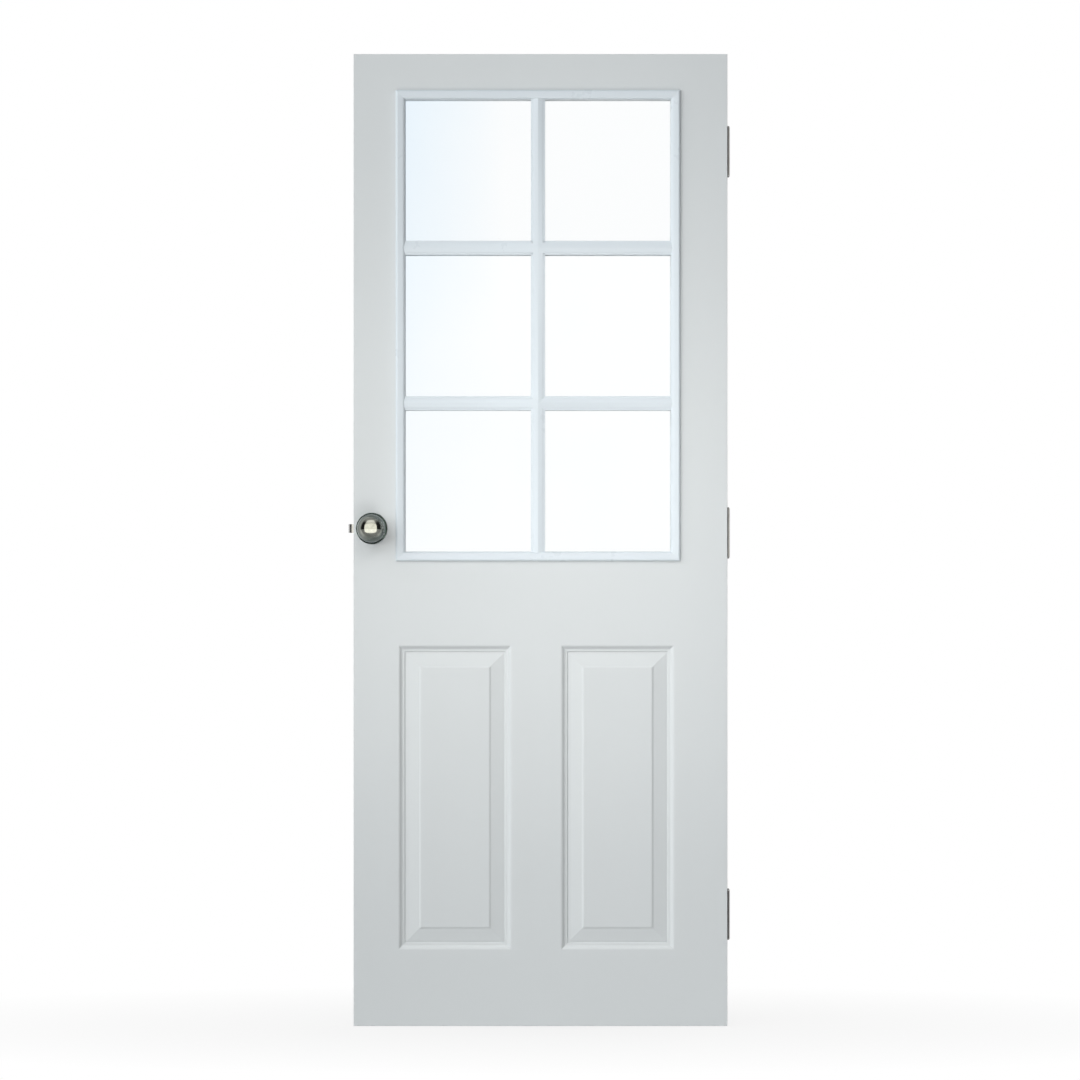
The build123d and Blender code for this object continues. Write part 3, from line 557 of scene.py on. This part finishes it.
spindleSteel = metal("spindleSteel", finishes["satinSteel"], (0.16, 0.15, 0.14, 1), 0.2, 0.3, 0.1, 0.25, (math.pi / 2, 0, 0))
springSteel = metal("springSteel", (0.4, 0.41, 0.42, 1), (0.12, 0.12, 0.12, 1), 0.2, 0.22, 0.1, 0.05)
brassMetal = metal("followerBrass", finishes["brass"], (0.3, 0.18, 0.07, 1), 0.3, 0.3, 0.15, 0.1)
spacerMetal = metal("spacerMetal", (0.82, 0.83, 0.84, 1), (0.6, 0.6, 0.6, 1), 0.15, 0.4, 0.1, 0.1)
sealRubber = celled("edgeSeal", (0.025, 0.025, 0.027, 1), 1800.0, 0.35, 0.7, 0.05)
tapeFoam = celled("tapeFoam", (0.1, 0.1, 0.105, 1), 1400.0, 0.5, 0.85, 0.08)
coreFoam = celled("coreFoam", (0.78, 0.68, 0.42, 1), 1100.0, 0.45, 0.9, 0.2)
print("finishes mixed")


# Making and placing pieces


def addPiece(name, bm, material, body, slot, *stands, smooth=32, joined=(), cutters=(), mitred=False):
    mesh = bpy.data.meshes.new(name)
    bm.to_mesh(mesh)
    bm.free()
    mesh.materials.append(material)
    piece = bpy.data.objects.new(name, mesh)
    bpy.context.scene.collection.objects.link(piece)
    for part in joined:
        cutAway(piece, [part], "UNION")
    if cutters:
        cutAway(piece, cutters)
    for face in piece.data.polygons:
        face.use_smooth = True
    piece.data.set_sharp_from_angle(angle=math.radians(smooth))
    for edge in piece.data.edges if mitred else ():
        a, b = (piece.data.vertices[i].co for i in edge.vertices)
        if min(abs(a.x - b.x), abs(a.z - b.z)) > 0.005 * mm:
            edge.use_edge_sharp = True
    flats = piece.modifiers.new("flatsStayFlat", "WEIGHTED_NORMAL")
    flats.keep_sharp = True
    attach(piece, body)
    if stands:
        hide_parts(*stands)
    return piece


def islands(bm):
    # The vertices of each separate solid in a group, always in the same order
    seen, groups = set(), []
    for start in bm.verts:
        if start in seen:
            continue
        group = [start]
        seen.add(start)
        for vert in group:
            for edge in vert.link_edges:
                other = edge.other_vert(vert)
                if other not in seen:
                    seen.add(other)
                    group.append(other)
        groups.append(group)
    return groups


def spanOf(verts):
    lows = Vector(min(v.co[i] for v in verts) for i in range(3))
    highs = Vector(max(v.co[i] for v in verts) for i in range(3))
    return lows, highs


def crossCutter(centre, facing, radius, turn):
    # A driver's recess: a cross that narrows as it goes down
    arm, half, deep = radius * 0.6, radius * 0.13, radius * 0.7
    arms = [(half, half), (arm, half), (arm, -half), (half, -half)]
    bm = bmesh.new()
    corners = []
    for i in range(4):
        spun = Matrix.Rotation(-i * math.pi / 2, 2)
        corners += [bm.verts.new((*(spun @ Vector(point)), radius * 0.3)) for point in arms[:3]]
    made = bmesh.ops.extrude_face_region(bm, geom=[bm.faces.new(corners)])["geom"]
    deepEnd = [g for g in made if isinstance(g, bmesh.types.BMVert)]
    bmesh.ops.translate(bm, verts=deepEnd, vec=(0, 0, -deep - radius * 0.3))
    bmesh.ops.scale(bm, verts=deepEnd, vec=(0.45, 0.45, 1))
    bmesh.ops.recalc_face_normals(bm, faces=bm.faces)
    aim = Vector((0, 0, 1)).rotation_difference(Vector(facing)).to_matrix() @ Matrix.Rotation(turn, 3, "Z")
    bmesh.ops.rotate(bm, verts=bm.verts, cent=(0, 0, 0), matrix=aim)
    bmesh.ops.translate(bm, verts=bm.verts, vec=centre)
    return bm


def crossedScrews(name, node, body, facing):
    # Screws as packed, each with a recess in its head, turned its own way
    bm = nodeCopy(node)
    recesses = []
    for i, group in enumerate(islands(bm)):
        low, high = spanOf(group)
        way = Vector(facing)
        if way.y:
            way.y = 1.0 if low.y > 0 else -1.0
        centre = (low + high) / 2
        centre += way * abs(way.dot(high - low)) / 2
        wide = max(high.z - low.z, 0) / 2
        recesses.append(crossCutter(centre, way, wide, i * 0.65 + 0.3))
    soften(bm, 0.15, 30, 2)
    return addPiece(name, bm, screwSteel, body, "screw_steel", node, cutters=recesses)


def nodeCopy(node):
    # A node's own surface as one joined mesh, its flats in one face each
    bm = bmesh.new()
    bm.from_mesh(nodes[node].data)
    bmesh.ops.remove_doubles(bm, verts=bm.verts, dist=0.002 * mm)
    bmesh.ops.dissolve_limit(bm, angle_limit=math.radians(0.4), verts=bm.verts, edges=bm.edges)
    return bm


def soften(bm, width, sharp=30, segments=2):
    # Rounds every edge that turns by more than the sharp angle, outwards or inwards
    edges = [e for e in bm.edges if len(e.link_faces) == 2 and e.calc_face_angle(0) > math.radians(sharp)]
    bmesh.ops.bevel(
        bm, geom=edges, offset=width * mm, offset_type="OFFSET", segments=segments,
        profile=0.5, affect="EDGES", material=-1, clamp_overlap=True,
    )


def refined(name, node, width, material, body, slot, sharp=30, segments=2, mitred=False):
    bm = nodeCopy(node)
    if width:
        soften(bm, width, sharp, segments)
    return addPiece(name, bm, material, body, slot, node, mitred=mitred)


def turnedShape(outline, axisPlace, steps=96):
    # Spins an outline of (radius, distance from the leaf's middle) about the spindle's line
    bm = bmesh.new()
    corners = [bm.verts.new((axisPlace[0] + radius * mm, away * mm, axisPlace[1])) for radius, away in outline]
    edges = [bm.edges.new(pair) for pair in zip(corners, corners[1:])]
    bmesh.ops.spin(
        bm, geom=corners + edges, cent=(axisPlace[0], 0, axisPlace[1]), axis=(0, 1, 0),
        angle=math.tau, steps=steps, use_merge=True,
    )
    bmesh.ops.remove_doubles(bm, verts=bm.verts, dist=0.001 * mm)
    bmesh.ops.recalc_face_normals(bm, faces=bm.faces)
    return bm


def paintNode(node, material):
    # A node whose own shape is right only gets its finish
    for slot in nodes[node].material_slots:
        slot.material = material
    if not nodes[node].material_slots:
        nodes[node].data.materials.append(material)


# Skins

skin = {
    "sheet": 3.0, "panelLefts": (-290.5, 41.0), "panelWide": 232.5, "panelLow": 155.0, "panelTall": 622.0,
    "cutLeft": -290.5, "cutRight": 280.5, "cutLow": 952.0, "cutHigh": 1903.0,
    "ogeeWide": 11.5, "ogeeDeep": 5.6, "ogeeSteps": 6, "fillet": 1.8, "quirk": 1.3, "valleyDeep": 7.4,
    "valleyWide": 1.6, "bevelWide": 27.0, "bevelTop": 2.9, "arris": 3.4, "field": 0.9,
    "edgeSoft": 0.9, "spindleHole": 12.0,
}


def reliefOutline():
    # The raised panel's section as (inset, depth): ogee, fillet, quirk, valley, bevel, arris, field
    halfWide, halfDeep = skin["ogeeWide"] / 2, skin["ogeeDeep"] / 2
    radius = (halfWide**2 + halfDeep**2) / (2 * halfDeep)
    sweep = math.asin(halfWide / radius)
    turns = [sweep * (i + 1) / skin["ogeeSteps"] for i in range(skin["ogeeSteps"])]
    down = [(radius * math.sin(a), radius * (1 - math.cos(a))) for a in turns]
    up = [(skin["ogeeWide"] - x, skin["ogeeDeep"] - d) for x, d in reversed(down[:-1])]
    points = [(0, 0)] + down + up + [(skin["ogeeWide"], skin["ogeeDeep"])]
    inset = skin["ogeeWide"] + skin["fillet"]
    points.append((inset, skin["ogeeDeep"]))
    for wide, depth in (
        (skin["quirk"], skin["valleyDeep"]), (skin["valleyWide"], skin["valleyDeep"]),
        (skin["bevelWide"], skin["bevelTop"]), (skin["arris"], skin["field"]),
    ):
        inset += wide
        points.append((inset, depth))
    return points


def panelEdges(bm, left, inset, face):
    # Edges of the rectangle that lies one inset inside a panel, on the front of the sheet
    left, low = left + inset, skin["panelLow"] + inset
    right = left + skin["panelWide"] - 2 * inset
    high = low + skin["panelTall"] - 2 * inset

    def onRing(vert):
        x, z = vert.co.x / mm, vert.co.z / mm
        inX, inZ = left - 0.01 < x < right + 0.01, low - 0.01 < z < high + 0.01
        return (min(abs(x - left), abs(x - right)) < 0.01 and inZ) or (min(abs(z - low), abs(z - high)) < 0.01 and inX)

    def level(edge):
        a, b = edge.verts
        return abs(a.co.y - b.co.y) < 1e-6 and (abs(a.co.x - b.co.x) < 1e-6 or abs(a.co.z - b.co.z) < 1e-6)

    return [e for e in bm.edges if level(e) and all(onRing(v) for v in e.verts)]


def pressedSheet(face):
    # The leaf's face as one sheet, cut into bands, with both panels inset step by step
    wide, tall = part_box("outside_skin")[1].x / mm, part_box("outside_skin")[1].z / mm
    bm = bmesh.new()
    corners = [bm.verts.new((x * mm, face, z * mm)) for x, z in ((-wide, 0), (wide, 0), (wide, tall), (-wide, tall))]
    bm.faces.new(corners)
    ends = [(left, left + skin["panelWide"]) for left in skin["panelLefts"]]
    cutsX = [x for pair in ends for x in pair] + [skin["cutRight"]]
    cutsZ = [skin["panelLow"], skin["panelLow"] + skin["panelTall"], skin["cutLow"], skin["cutHigh"]]
    for x in cutsX:
        bmesh.ops.bisect_plane(bm, geom=bm.verts[:] + bm.edges[:] + bm.faces[:], plane_co=(x * mm, 0, 0), plane_no=(1, 0, 0))
    for z in cutsZ:
        bmesh.ops.bisect_plane(bm, geom=bm.verts[:] + bm.edges[:] + bm.faces[:], plane_co=(0, 0, z * mm), plane_no=(0, 0, 1))

    def inside(face, left, right, low, high):
        centre = face.calc_center_median() / mm
        return left < centre.x < right and low < centre.z < high

    hole = [f for f in bm.faces if inside(f, skin["cutLeft"], skin["cutRight"], skin["cutLow"], skin["cutHigh"])]
    bmesh.ops.delete(bm, geom=hole, context="FACES")
    low, high = skin["panelLow"], skin["panelLow"] + skin["panelTall"]
    steps = reliefOutline()
    for left, right in ends:
        panel = [f for f in bm.faces if inside(f, left, right, low, high)]
        bmesh.ops.dissolve_faces(bm, faces=panel) if len(panel) > 1 else None
        panel = [f for f in bm.faces if inside(f, left, right, low, high)]
        for (inset0, depth0), (inset1, depth1) in zip(steps, steps[1:]):
            bmesh.ops.inset_region(
                bm, faces=panel, thickness=(inset1 - inset0) * mm, depth=-(depth1 - depth0) * mm,
                use_boundary=True, use_even_offset=True,
            )
    return bm, ends, steps


def makeSkin():
    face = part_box("outside_skin")[0].y
    bm, ends, steps = pressedSheet(face)
    bmesh.ops.recalc_face_normals(bm, faces=bm.faces)
    if sum((f.normal.y * f.calc_area() for f in bm.faces), 0.0) > 0:
        bmesh.ops.reverse_faces(bm, faces=bm.faces)
    insets = [inset for inset, depth in steps]
    creases = {-1: 1.1, -2: 0.9, -3: 0.45, -4: 0.4, -5: 0.45, 0: 0.5}
    for place, width in creases.items():
        edges = [e for left, right in ends for e in panelEdges(bm, left, insets[place], face)]
        bmesh.ops.bevel(
            bm, geom=edges, offset=width * mm, offset_type="OFFSET", segments=3, profile=0.5,
            affect="EDGES", material=-1, clamp_overlap=True,
        )
    bmesh.ops.solidify(bm, geom=bm.faces[:], thickness=skin["sheet"] * mm)
    wide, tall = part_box("outside_skin")[1].x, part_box("outside_skin")[1].z

    def onRim(edge):
        a, b = edge.verts
        flat = all(abs(v.co.y - face) < 1e-6 for v in edge.verts)
        sides = all(abs(abs(v.co.x) - wide) < 1e-6 for v in edge.verts)
        ends = all(v.co.z < 1e-6 for v in edge.verts) or all(v.co.z > tall - 1e-6 for v in edge.verts)
        return flat and (sides or ends)

    bmesh.ops.bevel(
        bm, geom=[e for e in bm.edges if onRim(e)], offset=skin["edgeSoft"] * mm, offset_type="OFFSET",
        segments=3, profile=0.5, affect="EDGES", material=-1, clamp_overlap=True,
    )
    return bm


def cutAway(piece, cutters, operation="DIFFERENCE"):
    # Takes closed shapes out of a piece, or joins them to it
    bm = bmesh.new()
    for cutter in cutters:
        temp = bpy.data.meshes.new("cut")
        cutter.to_mesh(temp)
        cutter.free()
        bm.from_mesh(temp)
        bpy.data.meshes.remove(temp)
    mesh = bpy.data.meshes.new("cutter")
    bm.to_mesh(mesh)
    bm.free()
    tool = bpy.data.objects.new("cutter", mesh)
    bpy.context.scene.collection.objects.link(tool)
    modifier = piece.modifiers.new("cut", "BOOLEAN")
    modifier.operation = operation
    modifier.solver = "EXACT"
    modifier.object = tool
    bpy.context.view_layer.update()
    shape = bpy.data.meshes.new_from_object(piece.evaluated_get(bpy.context.evaluated_depsgraph_get()))
    old = piece.data
    piece.modifiers.remove(modifier)
    piece.data = shape
    bpy.data.meshes.remove(old)
    bpy.data.objects.remove(tool)
    bpy.data.meshes.remove(mesh)
    shape.name = piece.name


def boxCutter(low, high):
    bm = bmesh.new()
    bmesh.ops.create_cube(bm, size=1.0)
    size = Vector(high) - Vector(low)
    bmesh.ops.scale(bm, verts=bm.verts, vec=size)
    bmesh.ops.translate(bm, verts=bm.verts, vec=(Vector(low) + Vector(high)) / 2)
    return bm


def roundCutter(radius, x, z, y0, y1):
    bm = bmesh.new()
    bmesh.ops.create_cone(bm, cap_ends=True, segments=48, radius1=radius, radius2=radius, depth=y1 - y0)
    bmesh.ops.rotate(bm, verts=bm.verts, cent=(0, 0, 0), matrix=Matrix.Rotation(math.pi / 2, 3, "X"))
    bmesh.ops.translate(bm, verts=bm.verts, vec=(x, (y0 + y1) / 2, z))
    return bm


spindleLow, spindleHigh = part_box("knob_spindle")
spindleX, spindleZ = (spindleLow.x + spindleHigh.x) / 2, (spindleLow.z + spindleHigh.z) / 2

bore = [roundCutter(skin["spindleHole"] * mm, spindleX, spindleZ, -0.03, 0)]
addPiece("outsideSkin", makeSkin(), paint, "door", "skin_paint", "outside_skin", cutters=bore, mitred=True)
mirrored = makeSkin()
bmesh.ops.scale(mirrored, verts=mirrored.verts, vec=(1, -1, 1))
bmesh.ops.reverse_faces(mirrored, faces=mirrored.faces)
recesses = [roundCutter(skin["spindleHole"] * mm, spindleX, spindleZ, 0, 0.03)]
for place in ("bottom", "middle", "top"):
    low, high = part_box(place + "_hinge_moving_leaf")
    room0 = 0.1 * mm
    recesses.append(boxCutter((low.x - room0, 0.01, low.z - room0), (high.x + 0.02, 0.03, high.z + room0)))
addPiece("insideSkin", mirrored, paint, "door", "skin_paint", "inside_skin", cutters=recesses, mitred=True)
print("skins pressed")


# Timber and core

woods = {
    "lock_stile": ("lockStile", lockStileWood), "hinge_stile": ("hingeStile", stileWood),
    "top_rail": ("topRail", railWood), "bottom_rail": ("bottomRail", railWood),
}
for node, (name, material) in woods.items():
    refined(name, node, 0.35, material, "door", "edge_timber", sharp=60)
paintNode("lock_block", lockStileWood)
paintNode("foam_core", coreFoam)
print("timber dressed")


# Glazed light

light = {
    "member": 19.5, "proud": 7.2, "edgeRound": 4.6, "crownWide": 8.6, "crownFall": 1.2, "noseDrop": 6.5, "wall": 3.2,
    "back": -10.0, "seat": 2.0, "roof": 3.0, "gap": 0.2, "legStart": 5.3, "legThick": 4.5, "legEnd": -21.5, "arcSteps": 8,
    "bar": 29.0, "ridge": 5.2, "slopeWide": 9.5, "slopeFoot": 3.0, "shoulder": 1.9, "barEdge": 0.7, "barRoot": 2.6,
    "rows": 3, "barSoft": 0.45,
}


def arcPoints(start, way, end):
    # An arc that leaves a point along a way and runs to an end
    start, way, end = Vector(start), Vector(way).normalized(), Vector(end)
    across = Vector((way.y, -way.x))
    span = end - start
    radius = span.length_squared / (2 * span.dot(across))
    centre = start + across * radius
    turn = 2 * math.asin(span.length / (2 * radius))
    points = []
    for i in range(1, light["arcSteps"] + 1):
        point = start - centre
        point.rotate(Matrix.Rotation(-turn * i / light["arcSteps"], 2))
        points.append(tuple(centre + point))
    return points


def memberSection():
    # The moulded frame's section as (inset, height over the leaf's face), from the lip round to the leg
    crown = light["edgeRound"] + light["crownWide"]
    foot = light["proud"] - light["crownFall"]
    inner, legIn = light["member"] - light["wall"], light["legStart"] + light["legThick"]
    points = [(0, light["proud"] - light["edgeRound"])]
    points += arcPoints(points[0], (0, 1), (light["edgeRound"], light["proud"]))
    points.append((crown, foot))
    points += arcPoints(points[-1], (light["crownWide"], -light["crownFall"]), (light["member"], foot - light["noseDrop"]))
    points += [
        (light["member"], light["back"]), (inner, light["back"]), (inner, light["roof"] - light["gap"]),
        (legIn, light["roof"] - light["gap"]), (legIn, light["legEnd"]), (light["legStart"], light["legEnd"]),
        (light["legStart"], light["roof"]), (light["seat"], light["roof"]), (light["seat"], light["gap"]), (0, light["gap"]),
    ]
    return points


def sweptFrame(low, high, face):
    # The section at one corner, drawn out to the others in turn: each corner mirrors the last
    centre = (low + high) / 2
    bm = bmesh.new()
    corners = [bm.verts.new((low.x + inset * mm, face - rise * mm, low.z + inset * mm)) for inset, rise in memberSection()]
    edges = [bm.edges.new((corners[i - 1], corners[i])) for i in range(len(corners))]
    for flip in ((-1, 1, 1), (1, 1, -1), (-1, 1, 1), (1, 1, -1)):
        made = bmesh.ops.extrude_edge_only(bm, edges=edges)["geom"]
        moved = [g for g in made if isinstance(g, bmesh.types.BMVert)]
        edges = [g for g in made if isinstance(g, bmesh.types.BMEdge) and all(v in moved for v in g.verts)]
        bmesh.ops.scale(bm, verts=moved, vec=flip, space=Matrix.Translation(-centre))
    bmesh.ops.remove_doubles(bm, verts=bm.verts, dist=0.001 * mm)
    bmesh.ops.recalc_face_normals(bm, faces=bm.faces)
    return bm


def glazingBar(start, end, face, upright):
    # A ridged bar between two points along its middle
    half, foot = light["bar"] / 2, light["slopeWide"] + light["slopeFoot"] - light["shoulder"]
    right = [
        (light["slopeWide"], light["slopeFoot"]), (foot, light["shoulder"]), (half - light["barEdge"], light["shoulder"]),
        (half, light["shoulder"] - light["barEdge"]), (half, light["back"]),
    ]
    outline = [(0, light["ridge"])] + right + [(-x, y) for x, y in reversed(right)]
    bm = bmesh.new()
    place = Vector(start)
    side = Vector((1, 0, 0)) if upright else Vector((0, 0, 1))
    corners = [bm.verts.new(place + side * (x * mm) + Vector((0, face - rise * mm, 0))) for x, rise in outline]
    end0 = bm.faces.new(corners)
    made = bmesh.ops.extrude_face_region(bm, geom=[end0])["geom"]
    bmesh.ops.translate(bm, verts=[g for g in made if isinstance(g, bmesh.types.BMVert)], vec=Vector(end) - place)
    bmesh.ops.recalc_face_normals(bm, faces=bm.faces)
    way = (Vector(end) - place).normalized()
    creases = [e for e in bm.edges if abs((e.verts[0].co - e.verts[1].co).normalized().dot(way)) > 0.99 and e.calc_face_angle() > 0.15]
    front = [e for e in creases if e.verts[0].co.y < face + 1 * mm]
    bmesh.ops.bevel(
        bm, geom=front, offset=light["barSoft"] * mm, offset_type="OFFSET", segments=3, profile=0.5,
        affect="EDGES", material=-1, clamp_overlap=True,
    )
    return bm


def glazingBars(low, high, face):
    member, root = light["member"] * mm, light["barRoot"] * mm
    left, right, bottom, top = low.x + member, high.x - member, low.z + member, high.z - member
    middle = (left + right) / 2
    pitch = (top - bottom + light["bar"] * mm) / light["rows"]
    bars = [glazingBar((middle, 0, bottom - root), (middle, 0, top + root), face, True)]
    for i in range(1, light["rows"]):
        z = bottom + i * pitch - light["bar"] * mm / 2
        bars.append(glazingBar((left - root, 0, z), (right + root, 0, z), face, False))
    return bars


def turnedOver(bm):
    bmesh.ops.scale(bm, verts=bm.verts, vec=(1, -1, 1))
    bmesh.ops.reverse_faces(bm, faces=bm.faces)
    return bm


frameLow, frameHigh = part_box("outside_light_frame")
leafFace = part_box("outside_skin")[0].y
addPiece(
    "outsideLightFrame", sweptFrame(frameLow, frameHigh, leafFace), plastic, "door", "frame_plastic",
    "outside_light_frame", joined=glazingBars(frameLow, frameHigh, leafFace), mitred=True,
)
plugCopy = nodeCopy("screw_plugs")
plugHoles = []
for group in islands(plugCopy):
    low, high = spanOf(group)
    plugHoles.append(roundCutter((high.x - low.x) / 2 + 0.2 * mm, (low.x + high.x) / 2, (low.z + high.z) / 2, low.y - 1 * mm, 0.04))
plugCopy.free()
addPiece(
    "insideLightFrame", turnedOver(sweptFrame(frameLow, frameHigh, leafFace)), plastic, "door", "frame_plastic",
    "inside_light_frame", joined=[turnedOver(bar) for bar in glazingBars(frameLow, frameHigh, leafFace)],
    cutters=plugHoles, mitred=True,
)
refined("outsidePane", "outside_glass", 0.4, glass, "door", "clear_glass", segments=1)
refined("insidePane", "inside_glass", 0.4, glass, "door", "clear_glass", segments=1)


def domedPlugs():
    # Each cap is drawn up a little towards its middle
    bm = nodeCopy("screw_plugs")
    for group in islands(bm):
        low, high = spanOf(group)
        caps = [f for f in bm.faces if f.normal.y > 0.9 and f.verts[0] in set(group)]
        for wide, rise in ((0.12, 0.1), (0.3, 0.1), (0.35, 0.04)):
            bmesh.ops.inset_region(bm, faces=caps, thickness=(high.x - low.x) * wide / 2, depth=rise * mm, use_even_offset=True)
    return bm


addPiece("plugs", domedPlugs(), plastic, "door", "frame_plastic", "screw_plugs", smooth=45)
paintNode("light_frame_screws", screwSteel)
paintNode("glass_spacer", spacerMetal)
paintNode("glass_edge_seal", sealRubber)
paintNode("outside_glazing_tape", tapeFoam)
paintNode("inside_glazing_tape", tapeFoam)
print("light glazed")


# Knobs and roses

refined("outsideKnob", "outside_knob", 0.25, nickel, "knobs", "knob_nickel")
refined("insideKnob", "inside_knob", 0.25, nickel, "knobs", "knob_nickel")
refined("outsideRose", "outside_rose", 0.25, nickel, "door", "knob_nickel")
refined("insideRose", "inside_rose", 0.25, nickel, "door", "knob_nickel")
crossedScrews("roseScrews", "rose_screws", "door", (0, 1, 0))
refined("grubScrews", "knob_grub_screws", 0.15, screwSteel, "knobs", "screw_steel")
paintNode("knob_spindle", spindleSteel)
print("knobs turned")


# Latch

refined("forend", "latch_forend", 0.4, latchNickel, "door", "latch_nickel")
crossedScrews("forendScrews", "forend_screws", "door", (-1, 0, 0))
refined("bolt", "latch_bolt", 0.4, latchNickel, "bolt", "latch_nickel")
paintNode("latch_case", caseSteel)
paintNode("latch_cover", caseSteel)
paintNode("latch_follower", brassMetal)

spring = {"wire": 0.7, "turns": 5, "stepsPerTurn": 20, "wireSides": 10, "travel": 11.0}


def coil(low, high):
    # Round wire wound about X through a box's middle, in even turns
    radius = (high.z - low.z - spring["wire"] * mm) / 2
    middle = (low + high) / 2
    height = high.x - low.x - spring["wire"] * mm
    steps = spring["turns"] * spring["stepsPerTurn"]
    bm = bmesh.new()
    start = Vector((low.x + spring["wire"] * mm / 2, middle.y, middle.z + radius))
    made = bmesh.ops.create_circle(bm, segments=spring["wireSides"], radius=spring["wire"] * mm / 2)
    bmesh.ops.rotate(bm, verts=made["verts"], cent=(0, 0, 0), matrix=Matrix.Rotation(math.pi / 2, 3, "X"))
    bmesh.ops.translate(bm, verts=made["verts"], vec=start)
    bmesh.ops.spin(
        bm, geom=bm.verts[:] + bm.edges[:], cent=middle, axis=(1, 0, 0), dvec=(height / steps, 0, 0),
        angle=math.tau * spring["turns"], steps=steps,
    )
    bmesh.ops.holes_fill(bm, edges=[e for e in bm.edges if e.is_boundary])
    bmesh.ops.recalc_face_normals(bm, faces=bm.faces)
    return bm


def latchSprings():
    packed = nodeCopy("latch_springs")
    spans = [spanOf(group) for group in islands(packed)]
    packed.free()
    both = bmesh.new()
    for low, high in spans:
        one = coil(low, high)
        mesh = bpy.data.meshes.new("coil")
        one.to_mesh(mesh)
        one.free()
        both.from_mesh(mesh)
        bpy.data.meshes.remove(mesh)
    low, high = spanOf(both.verts)
    piece = addPiece("latchSprings", both, springSteel, "door", "spring_steel", "latch_springs", smooth=60)
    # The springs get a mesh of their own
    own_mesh(piece)


latchSprings()
print("latch dressed")


# Hinges

for place in ("bottom", "middle", "top"):
    node = place + "_hinge_"
    refined(place + "MovingLeaf", node + "moving_leaf", 0.3, steel, "door", "hinge_steel")
    refined(place + "FixedLeaf", node + "fixed_leaf", 0.3, steel, "frame_side", "hinge_steel")
    refined(place + "Pin", node + "pin", 0.9, steel, "frame_side", "hinge_steel", segments=4)
    crossedScrews(place + "HingeScrews", node + "screws", "door", (1, 0, 0))
print("hinges dressed")
